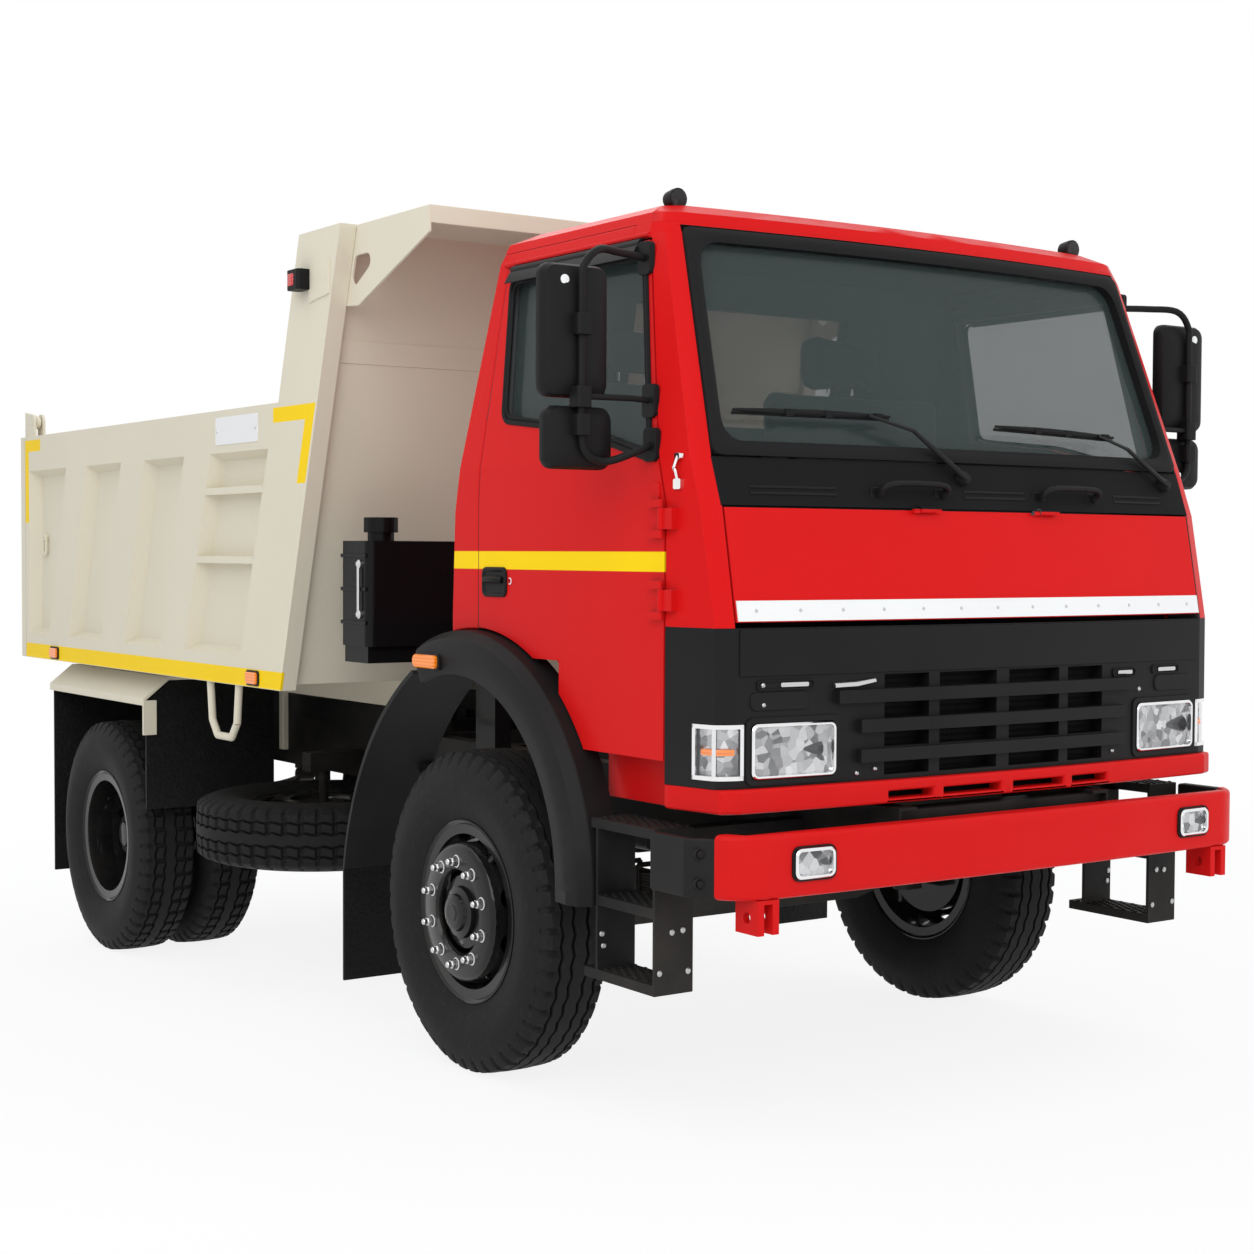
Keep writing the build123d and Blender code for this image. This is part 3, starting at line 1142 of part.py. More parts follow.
with BuildPart() as seats:
    for x, half in ((DRIVER_X, 250), (MATE_X, 420)):
        block((x - half, x + half), (-580, -70), (CAB_PLATFORM, CAB_PLATFORM + 190))
        side_prism(
            (
                (-220, CAB_PLATFORM + 190), (-175, CAB_PLATFORM + 780), (-95, CAB_PLATFORM + 780),
                (-70, CAB_PLATFORM + 190),
            ),
            (x - half, x + half))
        for head in ((x,) if half < 300 else (x - 190, x + 190)):
            block((head - 120, head + 120), (-172, -98), (CAB_PLATFORM + 780, CAB_PLATFORM + 930))
keep(seats, "seats")

# Wipers across the screen: each lies on the glass from its pivot on the cowl
WIPERS = (
    # pivot x, joint x, joint rise, tip x, tip rise
    (-78.0, -380.0, 190.0, -886.0, 130.0),
    (872.0, 600.0, 175.0, 100.0, 125.0),
)
WIPER_RADIUS = 9.0
screen_slope = (CAB_SECTIONS[4][7] - CAB_SECTIONS[3][7]) / (CAB_SECTIONS[4][0] - CAB_SECTIONS[3][0])


def on_screen(x, rise, proud):
    """A point in front of the screen, at a height above its lower edge."""
    _, _, _, _, _, _, edge_x, edge_y, bow = CAB_SECTIONS[3]
    return (
        x, edge_y - bow * (1 - (x / edge_x) ** 2) + screen_slope * rise - proud,
        CAB_SECTIONS[3][0] + rise)


with BuildPart() as wipers:
    for pivot, joint, joint_rise, tip, tip_rise in WIPERS:
        bar(on_screen(pivot, -35, -30), on_screen(pivot, -35, 28), 16)
        bar(on_screen(pivot, -35, 20), on_screen(joint, joint_rise, 14), WIPER_RADIUS)
        bar(on_screen(joint, joint_rise, 14), on_screen(tip, tip_rise, 14), WIPER_RADIUS)
    add(shell_outer, mode=Mode.SUBTRACT)
keep(wipers, "wipers")

# Doors, as thick as the cab's wall, with their glass and mirrors
DOOR_GLASS_INSET = 25.0
DOOR_GLASS = 6.0
with BuildPart() as door_right:
    shell()
    doorways(Mode.INTERSECT)
    block((-CAB_SIDE, -600), (-1500, 400), (0, 3000), Mode.INTERSECT)
    grown(back_zone, MOVE_GAP, Plane.XZ.offset(60 - BACK_ZONE), BACK_ZONE - 60 - 400, Mode.SUBTRACT)
    cross_pin((-CAB_SIDE, 0), 0, ARCH_HEIGHT, ARCH_RADIUS + MOVE_GAP, Mode.SUBTRACT)
    block((-CAB_SIDE, 0), (-1500, 400), (0, DOOR_BOTTOM), Mode.SUBTRACT)
    side_prism(window_outline, (-CAB_SIDE, 0), Mode.SUBTRACT)
    add(door_right.solids().sort_by(SortBy.VOLUME)[-1], mode=Mode.REPLACE)
    for z in DOOR_HINGE_Z:
        reach = HINGE_HALF + HINGE_LEAF
        x, y = -DOOR_HINGE_X, DOOR_HINGE_Y
        bar((x, y, z - reach), (x, y, z + reach), HINGE_ROD)
        for way in (-1, 1):
            near, far = sorted((z + way * (HINGE_HALF + 2), z + way * reach))
            block((x - HINGE_ROD, x + 15), (y, y + 60), (near, far))

with BuildPart() as door_glass_right:
    side_prism(window_outline, (-CAB_SIDE, -600))
    add(cab_form(DOOR_GLASS_INSET), mode=Mode.INTERSECT)
    add(cab_form(DOOR_GLASS_INSET + DOOR_GLASS), mode=Mode.SUBTRACT)

MIRROR_Y = -905.0
MIRROR_TUBE_X = -1275.0
MIRROR_TUBE = 13.0
MIRROR_DEPTH = 56.0
MIRROR_PANELS = (
    # x limits, z limits
    ((-1384, -1166), (2128, 2500)), ((-1372, -1150), (1928, 2104)),
)
MIRROR_ARMS = (
    # foot y, foot z, arm z
    (-866, 2545, 2530), (-959, 2126, 2114), (-986, 2000, 1996),
)
with BuildPart() as mirror_right:
    for x, z in MIRROR_PANELS:
        with BuildSketch(Plane.XZ.offset(-MIRROR_Y + MIRROR_DEPTH / 2 - MIRROR_DEPTH)) as back:
            with Locations((sum(x) / 2, sum(z) / 2)):
                RectangleRounded(x[1] - x[0], z[1] - z[0], 28)
        extrude(back.sketch, amount=MIRROR_DEPTH)
    top, bottom = MIRROR_ARMS[0][2], MIRROR_ARMS[-1][2]
    bar((MIRROR_TUBE_X, MIRROR_Y, bottom), (MIRROR_TUBE_X, MIRROR_Y, top), MIRROR_TUBE)
    for foot_y, foot_z, arm_z in MIRROR_ARMS:
        bar((MIRROR_TUBE_X, MIRROR_Y, arm_z), (-970, foot_y, foot_z), MIRROR_TUBE)
        with Locations((MIRROR_TUBE_X, MIRROR_Y, arm_z)):
            Sphere(MIRROR_TUBE)
    for foot_y, foot_z, arm_z in MIRROR_ARMS:
        block((-1090, -970), (foot_y - 11, foot_y + 11), (foot_z - 30, foot_z + 30))
    add(shell_outer, mode=Mode.SUBTRACT)

for label, right in (("door", door_right), ("door_glass", door_glass_right), ("mirror", mirror_right)):
    with BuildPart() as left:
        mirror(right.part, about=Plane.YZ)
    keep(right, f"{label}_right")
    keep(left, f"{label}_left")

# Bed floor on its runners, with the hinge ears and the hoist's ears
RUNNER_WIDTH = 70.0
REST_GAP = 5.0
BED_EAR = 50.0
bed_front_y = lean(BED_BOTTOM)

with BuildPart() as bed_floor:
    block((-bed_inner, bed_inner), (bed_front_y + 60, BED_REAR), (bed_under, BED_FLOOR))
    for side in (-1, 1):
        block(
            (side * (FRAME_HALF - RUNNER_WIDTH), side * FRAME_HALF), (SUBFRAME_FRONT + 20, BED_REAR - 10),
            (subframe_top + REST_GAP, bed_under))
        near, far = side * (ear_x[1] + MOVE_GAP), side * (ear_x[1] + MOVE_GAP + EAR_PLATE)
        block((near, far), (HINGE_Y - BED_EAR, HINGE_Y + BED_EAR), (HINGE_Z, bed_under))
        cross_pin((near, far), HINGE_Y, HINGE_Z, BED_EAR)
        cross_pin((side * ear_x[0], far), HINGE_Y, HINGE_Z, HINGE_PIN_RADIUS)
        for way in (-1, 1):
            cheek = side * RAM_X + way * (RAM_RADIUS + 12)
            block(
                (cheek, cheek + way * 16), (RAM_HEAD_Y - 45, RAM_HEAD_Y + 45), (RAM_HEAD_Z - 45, bed_under))
            cross_pin((cheek - 20, cheek + 20), RAM_HEAD_Y, RAM_HEAD_Z, CRADLE_TUBE - 8, Mode.SUBTRACT)
keep(bed_floor, "bed_floor")

# Bed sides: a leaning front post, slanting pockets between ribs, ladder rungs and a step hoop
POCKET_Z = (1287.0, 2082.0)
POCKET_DRAFT = 27.0
POCKETS = (
    # top front, top rear, bottom front, bottom rear
    (3626, 4150, 3879, 4172), (2917, 3358, 3176, 3598), (2205, 2646, 2473, 2895), (1390, 1938, 1652, 2210),
)
RUNG_Z = (1660.0, 1932.0)
HOOP_Y = (1715.0, 2000.0)
HOOP_Z = 955.0
HOOP_ROD = 15.0
HOOP_DRAW = (22.0, 75.0)    # how far the legs draw in at the bend and at the foot
HOOP_BEND = 60.0

with BuildPart() as bed_sides:
    x = (-BED_HALF, -bed_inner)
    side_prism(
        (
            (bed_front_y, BED_BOTTOM), (POST_FRONT, POST_TOP), (POST_FRONT + POST_WIDTH, POST_TOP),
            (lean(BED_TOP) + POST_WIDTH, BED_TOP), (BED_REAR, BED_TOP), (BED_REAR, BED_BOTTOM),
        ),
        x)
    for top_front, top_rear, bottom_front, bottom_rear in POCKETS:
        with BuildSketch(Plane.YZ.offset(-BED_HALF)) as pocket:
            with BuildLine():
                Polyline(
                    (top_front, POCKET_Z[1]), (top_rear, POCKET_Z[1]), (bottom_rear, POCKET_Z[0]),
                    (bottom_front, POCKET_Z[0]), close=True)
            make_face()
        extrude(pocket.sketch, amount=BED_WALL - BED_SKIN, taper=POCKET_DRAFT, mode=Mode.SUBTRACT)
    top_front, top_rear, bottom_front, bottom_rear = POCKETS[-1]
    for z in RUNG_Z:
        share = (POCKET_Z[1] - z) / (POCKET_Z[1] - POCKET_Z[0])
        front = top_front + (bottom_front - top_front) * share
        rear = top_rear + (bottom_rear - top_rear) * share
        block((-BED_HALF, -bed_inner - BED_SKIN), (front + 2, rear - 2), (z - 14, z + 14))
    hoop_x = -BED_HALF + 25
    hoop = [
        (HOOP_Y[0], BED_BOTTOM + 20), (HOOP_Y[0] + HOOP_DRAW[0], HOOP_Z + HOOP_BEND),
        (HOOP_Y[0] + HOOP_DRAW[1], HOOP_Z), (HOOP_Y[1] - HOOP_DRAW[1], HOOP_Z),
        (HOOP_Y[1] - HOOP_DRAW[0], HOOP_Z + HOOP_BEND), (HOOP_Y[1], BED_BOTTOM + 20),
    ]
    for (y, z), (next_y, next_z) in zip(hoop, hoop[1:]):
        bar((hoop_x, y, z), (hoop_x, next_y, next_z), HOOP_ROD)
    for way in (-1, 1):
        lug = -BED_HALF + BED_WALL / 2 + way * 22
        block((lug - 6, lug + 6), (TAIL_PIVOT_Y - 40, TAIL_PIVOT_Y + 40), (BED_TOP - 5, TAIL_PIVOT_Z))
        cross_pin((lug - 6, lug + 6), TAIL_PIVOT_Y, TAIL_PIVOT_Z, 40)
        cross_pin(
            (lug - 7, lug + 7), TAIL_PIVOT_Y, TAIL_PIVOT_Z, TAIL_PIN_RADIUS + PIN_CLEARANCE,
            Mode.SUBTRACT)
    mirror(about=Plane.YZ)
keep(bed_sides, "bed_sides")

# Bulkhead between the posts, with the canopy over the cab's back and its gussets
BULKHEAD_SETBACK = 35.0
BULKHEAD_SHEET = 50.0
CANOPY_SHEET = 12.0
CANOPY_LIP = 60.0
GUSSET_SHEET = 10.0
GUSSET_FRONT = 2760.0
GUSSET_FOOT = 2570.0
GUSSET_WINDOW = ((605.0, 2742.0), (lean(2742.0) - 14, 2742.0), (lean(2612.0) - 14, 2612.0))

with BuildPart() as bulkhead:
    back = BULKHEAD_SETBACK
    deep = BULKHEAD_SETBACK + BULKHEAD_SHEET
    side_prism(
        (
            (lean(bed_under) + back, bed_under), (lean(POST_TOP) + back, POST_TOP),
            (lean(POST_TOP) + deep, POST_TOP), (lean(bed_under) + deep, bed_under),
        ),
        (-bed_inner, bed_inner))
    block((-bed_inner, bed_inner), (bed_front_y + 60, BED_REAR), (bed_under, BED_FLOOR), Mode.SUBTRACT)
    half = bed_inner
    block((-half, half), (CANOPY_FRONT, lean(POST_TOP) + deep), (POST_TOP - CANOPY_SHEET, POST_TOP))
    block((-half, half), (CANOPY_FRONT, CANOPY_FRONT + CANOPY_SHEET), (POST_TOP - CANOPY_LIP, POST_TOP))
    side_prism(
        (
            (CANOPY_FRONT, POST_TOP), (lean(POST_TOP), POST_TOP), (lean(GUSSET_FOOT), GUSSET_FOOT),
            (lean(GUSSET_FOOT) - 90, GUSSET_FOOT - 6), (CANOPY_FRONT, GUSSET_FRONT),
        ),
        (-half, -half + GUSSET_SHEET))
    with BuildSketch(Plane.YZ.offset(-half)) as window:
        with BuildLine():
            FilletPolyline(*GUSSET_WINDOW, close=True, radius=28)
        make_face()
    extrude(window.sketch, amount=GUSSET_SHEET, mode=Mode.SUBTRACT)
    split(bisect_by=Plane.YZ, keep=Keep.BOTTOM)
    mirror(about=Plane.YZ)
keep(bulkhead, "bulkhead")

# Tailgate, hung from pivots above the sides
TAIL_PANEL = 20.0
TAIL_POCKETS = 4
with BuildPart() as tailgate:
    block((-BED_HALF, BED_HALF), (tail_front, tail_rear), (BED_BOTTOM, BED_TOP))
    pitch = 2 * BED_HALF / TAIL_POCKETS
    with BuildSketch(Plane.XZ.offset(-tail_rear)) as pockets:
        with Locations((0, (BED_BOTTOM + BED_TOP) / 2)):
            with GridLocations(pitch, 1, TAIL_POCKETS, 1):
                Rectangle(pitch - 110, BED_TOP - BED_BOTTOM - 220)
    extrude(pockets.sketch, amount=TAIL_DEPTH - TAIL_PANEL, taper=POCKET_DRAFT, mode=Mode.SUBTRACT)
    for side in (-1, 1):
        middle_x = side * (BED_HALF - BED_WALL / 2)
        side_prism(
            (
                (TAIL_PIVOT_Y, TAIL_PIVOT_Z + 30), (tail_rear, TAIL_PIVOT_Z + 55), (tail_rear, BED_TOP - 10),
                (tail_front, BED_TOP - 10), (tail_front, TAIL_PIVOT_Z - 30), (
                    TAIL_PIVOT_Y, TAIL_PIVOT_Z - 30),
            ),
            (middle_x - 10, middle_x + 10))
        cross_pin((middle_x - 10, middle_x + 10), TAIL_PIVOT_Y, TAIL_PIVOT_Z, 30)
        cross_pin((middle_x - 30, middle_x + 30), TAIL_PIVOT_Y, TAIL_PIVOT_Z, TAIL_PIN_RADIUS)
keep(tailgate, "tailgate")
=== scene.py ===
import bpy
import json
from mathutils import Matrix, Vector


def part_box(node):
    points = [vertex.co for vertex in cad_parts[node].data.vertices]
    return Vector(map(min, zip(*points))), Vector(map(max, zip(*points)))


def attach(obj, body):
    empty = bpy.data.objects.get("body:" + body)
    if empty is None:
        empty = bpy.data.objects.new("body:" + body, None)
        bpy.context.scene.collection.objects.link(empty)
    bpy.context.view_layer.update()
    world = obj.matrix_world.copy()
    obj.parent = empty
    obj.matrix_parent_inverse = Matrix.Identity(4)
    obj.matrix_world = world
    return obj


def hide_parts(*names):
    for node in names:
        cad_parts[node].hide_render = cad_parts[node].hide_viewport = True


bl_info = {
    "name": "Tipper truck",
    "version": (1, 0, 0),
    "blender": (4, 5, 0),
    "location": "3D View > Sidebar > Truck",
    "description": "Dresses a packed tipper truck with its finishes, tyres, lamps, trim and seats",
    "category": "Object",
}

import json
import math

import bmesh
import bpy
import numpy as np
from bpy.props import FloatProperty, FloatVectorProperty, IntProperty, PointerProperty
from mathutils import Matrix, Vector

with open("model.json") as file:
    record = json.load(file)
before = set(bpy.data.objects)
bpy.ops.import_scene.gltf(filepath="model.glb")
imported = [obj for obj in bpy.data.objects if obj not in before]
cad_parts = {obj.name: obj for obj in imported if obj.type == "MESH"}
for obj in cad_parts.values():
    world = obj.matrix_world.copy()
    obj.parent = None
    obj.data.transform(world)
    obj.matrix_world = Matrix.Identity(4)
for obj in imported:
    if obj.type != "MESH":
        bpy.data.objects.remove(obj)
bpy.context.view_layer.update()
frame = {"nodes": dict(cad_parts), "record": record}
NODES = frame["nodes"]
RECORD = frame["record"]

# The truck is drawn level on its chassis, in millimetres: x to its left, y back from the front axle,
# z up from the ground below that axle. STANCE carries the drawing to the nose-down truck in metres.
MM = 0.001
JOINTS = {joint["name"]: joint for joint in RECORD["behaviour"]["joints"]}
KING_PIN = JOINTS["steer_right"]
RAKE = math.atan2(-KING_PIN["axis"][1], KING_PIN["axis"][2])
AXLE_Z = KING_PIN["pos_m"][2] / MM
MIDDLE = -KING_PIN["pos_m"][1] / MM
STANCE = (
    Matrix.Translation((0, -MIDDLE * MM, AXLE_Z * MM))
    @ Matrix.Rotation(RAKE, 4, "X")
    @ Matrix.Translation((0, 0, -AXLE_Z * MM))
    @ Matrix.Scale(MM, 4)
)
LEVEL = STANCE.inverted()
SIDES = ((-1, "right"), (1, "left"))


class TruckSizes(bpy.types.PropertyGroup):
    """Sizes of the pieces that the frame doesn't give."""

    tread_depth: FloatProperty(
        name="Tread depth", description="Depth of the tyres' grooves", default=0.015, unit="LENGTH")
    tread_pitches: IntProperty(
        name="Tread pitches", description="Notches round each tyre's shoulder", default=48)
    nut_count: IntProperty(name="Wheel nuts", description="Nuts on each wheel", default=10)
    nut_circle: FloatProperty(
        name="Nut circle", description="Pitch circle of the wheel nuts", default=0.335, unit="LENGTH")
    leaf_count: IntProperty(name="Spring leaves", description="Leaves in each road spring", default=8)
    seat_swell: FloatProperty(
        name="Seat swell", description="How far the stuffing may push a seat's cloth", default=0.016,
        unit="LENGTH")
    lens_length: FloatProperty(
        name="Camera lens", description="Focal length of the stage's camera", default=57.83, unit="CAMERA")
    floor_size: FloatProperty(
        name="Floor size", description="Side of the stage's floor", default=120.0, unit="LENGTH")


def colour_property(name, description, default):
    """A colour that a user may change."""
    return FloatVectorProperty(
        name=name, description=description, default=default, size=3, min=0.0, max=1.0, subtype="COLOR")


class TruckColours(bpy.types.PropertyGroup):
    """Colours of the truck's finishes."""

    cab: colour_property("Cab", "Paint of the cab and bumper", (0.640, 0.0075, 0.008))
    bed: colour_property("Bed", "Paint of the tipping bed", (0.735, 0.680, 0.545))
    marking: colour_property("Marking", "Warning bands", (1.0, 0.66, 0.002))
    trim: colour_property("Trim", "Black plastic", (0.0095, 0.0095, 0.0100))
    chassis: colour_property("Chassis", "Paint of the frame and tanks", (0.0055, 0.0055, 0.0060))
    rubber: colour_property("Rubber", "Tyres and flaps", (0.0090, 0.0090, 0.0095))
    dust: colour_property("Dust", "Road dust", (0.30, 0.26, 0.21))
    glass: colour_property("Glass", "Tint of the windows", (0.060, 0.082, 0.079))
    amber: colour_property("Amber", "Turn lamps and markers", (1.0, 0.22, 0.004))
    stop: colour_property("Stop", "Tail lamps", (0.55, 0.008, 0.008))
    steel: colour_property("Steel", "Bright metal", (0.62, 0.62, 0.63))
    iron: colour_property("Iron", "Axles, springs and engine", (0.016, 0.0155, 0.015))
    cloth: colour_property("Cloth", "Seat covers", (0.062, 0.064, 0.069))
    lining: colour_property("Lining", "Inside of the cab", (0.085, 0.088, 0.090))
    floor: colour_property("Floor", "The stage's floor", (0.94, 0.94, 0.94))


class Value:
    """A number that varies over a surface: a node's socket, with arithmetic that adds Math nodes."""

    def __init__(self, finish, socket):
        self.finish = finish
        self.socket = socket

    def math(self, operation, *terms, clamp=False):
        sockets = dict(enumerate(terms))
        made = self.finish.node("Math", {"operation": operation, "use_clamp": clamp}, sockets)
        return Value(self.finish, made.outputs[0])

    def __add__(self, other):
        return self.math("ADD", self, other)

    def __sub__(self, other):
        return self.math("SUBTRACT", self, other)

    def __mul__(self, other):
        return self.math("MULTIPLY", self, other)

    def __rsub__(self, other):
        return self.math("SUBTRACT", other, self)

    __radd__ = __add__
    __rmul__ = __mul__

    def size(self):
        return self.math("ABSOLUTE", self)

    def power(self, exponent):
        return self.math("POWER", self, exponent)

    def above(self, edge, soft=2.0):
        """1 where the value is over an edge, and 0 under it."""
        return self.math("MULTIPLY_ADD", self, 1 / soft, 0.5 - edge / soft, clamp=True)

    def between(self, low, high, soft=2.0):
        return self.above(low, soft) * (1 - self.above(high, soft))


class Shading:
    """A tree of shader nodes, all made by one method."""

    def __init__(self, tree):
        self.tree = tree

    def node(self, kind, settings=None, sockets=None):
        """Adds a node: its settings first, then the values or links of its sockets."""
        made = self.tree.nodes.new(f"ShaderNode{kind}")
        for key, setting in (settings or {}).items():
            setattr(made, key, setting)
        for key, term in (sockets or {}).items():
            self.feed(made.inputs[key], term)
        return made

    def feed(self, socket, term):
        """Links a Value or an output to a socket, or sets a plain value on it."""
        if isinstance(term, Value):
            self.tree.links.new(term.socket, socket)
        elif isinstance(term, bpy.types.NodeSocket):
            self.tree.links.new(term, socket)
        elif socket.type == "RGBA":
            socket.default_value = (*term[:3], 1)
        else:
            socket.default_value = term

    def split(self, vector):
        """x, y and z of a vector."""
        made = self.node("SeparateXYZ", None, {0: vector})
        return [Value(self, made.outputs[axis]) for axis in "XYZ"]

    def seen(self):
        """1 for rays from the camera, also by way of a mirror or glass, and 0 for those that carry light."""
        rays = self.node("LightPath").outputs
        shown = Value(self, rays["Is Camera Ray"])
        for ray in ("Is Glossy Ray", "Is Transmission Ray"):
            shown = shown.math("MAXIMUM", shown, rays[ray])
        return shown


class Finish(Shading):
    """A procedural material."""

    def __init__(self, name):
        self.material = bpy.data.materials.new(name)
        self.material.use_nodes = True
        super().__init__(self.material.node_tree)
        self.shader = self.tree.nodes["Principled BSDF"]
        self.place = self.node("TexCoord").outputs["Object"]

    def drawing(self):
        """x, y and z of the level drawing, in millimetres."""
        mapped = self.node("Mapping", {"vector_type": "POINT"}, {
            "Vector": self.place, "Location": LEVEL.translation, "Rotation": (-RAKE, 0, 0),
            "Scale": (1 / MM,) * 3})
        return self.split(mapped.outputs[0])

    def noise(self, grain, detail=3.0):
        """Noise of about a given grain in metres."""
        made = self.node("TexNoise", None, {
            "Vector": self.place, "Scale": 1 / grain, "Detail": detail, "Roughness": 0.55})
        return Value(self, made.outputs["Fac"])

    def cells(self, grain):
        """Rounded cells of about a given size in metres."""
        made = self.node("TexVoronoi", {"feature": "SMOOTH_F1"}, {"Vector": self.place, "Scale": 1 / grain})
        return Value(self, made.outputs["Distance"])

    def facets(self, grain):
        """A shade at random for each flat cell of about a given size in metres."""
        made = self.node("TexVoronoi", None, {"Vector": self.place, "Scale": 1 / grain})
        return Value(self, made.outputs["Color"])

    def normal(self):
        """x, y and z of the surface's normal, which go with the piece as it moves."""
        return self.split(self.node("TexCoord").outputs["Normal"])

    def mix(self, factor, first, second):
        """Goes from the first colour to the second."""
        return self.node("Mix", {"data_type": "RGBA"}, {0: factor, 6: first, 7: second}).outputs[2]

    def shades(self, colour, spread, amount):
        """A colour that drifts between a darker and a paler shade of itself."""
        dark = [c * (1 - amount) for c in colour]
        pale = [min(1.0, c * (1 + amount)) for c in colour]
        return self.mix(spread, dark, pale)

    def bump(self, height, strength, reach=0.001):
        """A normal from a height; strength and reach stay the same all over."""
        made = self.node("Bump", None, {"Strength": strength, "Distance": reach, "Height": height})
        return made.outputs[0]

    def dusty(self, low=300.0, high=1500.0, most=0.35):
        """How much road dust lies on a surface: more near the ground."""
        _, _, z = self.drawing()
        near = 1 - z.above((low + high) / 2, high - low)
        return near * self.noise(0.35, 5.0).above(0.52, 0.35) * most

    def done(self, **sockets):
        """Feeds the shader's sockets, named with underscores, and gives the material."""
        for key, term in sockets.items():
            self.feed(self.shader.inputs[key.replace("_", " ")], term)
        return self.material


def colours():
    """The colours that a user may change."""
    return bpy.context.scene.truck_colours


def sizes():
    """The sizes that a user may change."""
    return bpy.context.scene.truck_sizes


def paint_finish(name, colour, markings=(), gloss=0.32, coat=0.02, dust=0.03):
    """Sprayed paint, with bands or patches of other colours masked on it."""
    finish = Finish(name)
    drift = finish.noise(0.9, 2.0)
    shade = finish.shades(colour, drift, 0.05)
    rough = gloss + finish.noise(0.06, 4.0) * 0.06
    x, y, z = finish.drawing()
    coated = coat
    for mask, tone, dull in markings:
        area = mask(x, y, z)
        shade = finish.mix(area, shade, finish.shades(tone, drift, 0.05))
        rough = rough + area * dull
        if dull > 0.2:
            coated = (1 - area) * coated
    grime = finish.dusty(most=dust)
    peel = finish.noise(0.004, 2.0)
    return finish.done(
        Base_Color=finish.mix(grime, shade, colours().dust),
        Roughness=rough + grime * 0.4,
        Coat_Weight=coated,
        Coat_Roughness=0.06,
        Specular_IOR_Level=0.07,
        Normal=finish.bump(peel, 0.05, 0.0004),
    )


CAB_STRIPE = (1640.0, 1697.0, -1046.0)
COWL = (1826.0, 1966.0, 976.0)
RAIL_BAND = (1172.0, 1240.0)
CAB_MIDDLE = (0.0, -560.0, 1950.0)


def cab_stripe(x, y, z):
    """The band along the cab's side."""
    return z.between(CAB_STRIPE[0], CAB_STRIPE[1]) * x.size().above(1040) * y.above(CAB_STRIPE[2])


def cowl_panel(x, y, z):
    """The black panel under the windscreen."""
    return z.between(COWL[0], COWL[1]) * (1 - x.size().above(COWL[2])) * (1 - y.above(-1120))


def inside_cab(x, y, z):
    """The lining of the cab: what faces its middle."""
    away = [(place - middle) * part for place, middle, part in zip((x, y, z), CAB_MIDDLE, x.finish.normal())]
    return 1 - (away[0] + away[1] + away[2]).above(0.0, 60.0)


def under_cab(x, y, z):
    """All of the cab's floor but its outer sides."""
    return 1 - x.size().above(962, 6.0)


def bed_markings():
    """Warning bands of the bed: along the lower rail, and in the corners at the post and the tail."""

    def rail(x, y, z):
        return z.between(*RAIL_BAND) * x.size().above(1140)

    def post_corner(x, y, z):
        top = z.between(2176, 2232) * (1 - y.above(1345))
        edge = y + z * 0.3
        leg = z.between(1944, 2232) * edge.between(1655, 1726)
        return top.math("MAXIMUM", top * edge.above(1655), leg) * x.size().above(1140)

    def tail_corner(x, y, z):
        top = z.between(2176, 2232) * y.above(3990)
        leg = z.between(1830, 2232) * y.above(4160)
        return top.math("MAXIMUM", top, leg) * x.size().above(1140)

    return rail, post_corner, tail_corner


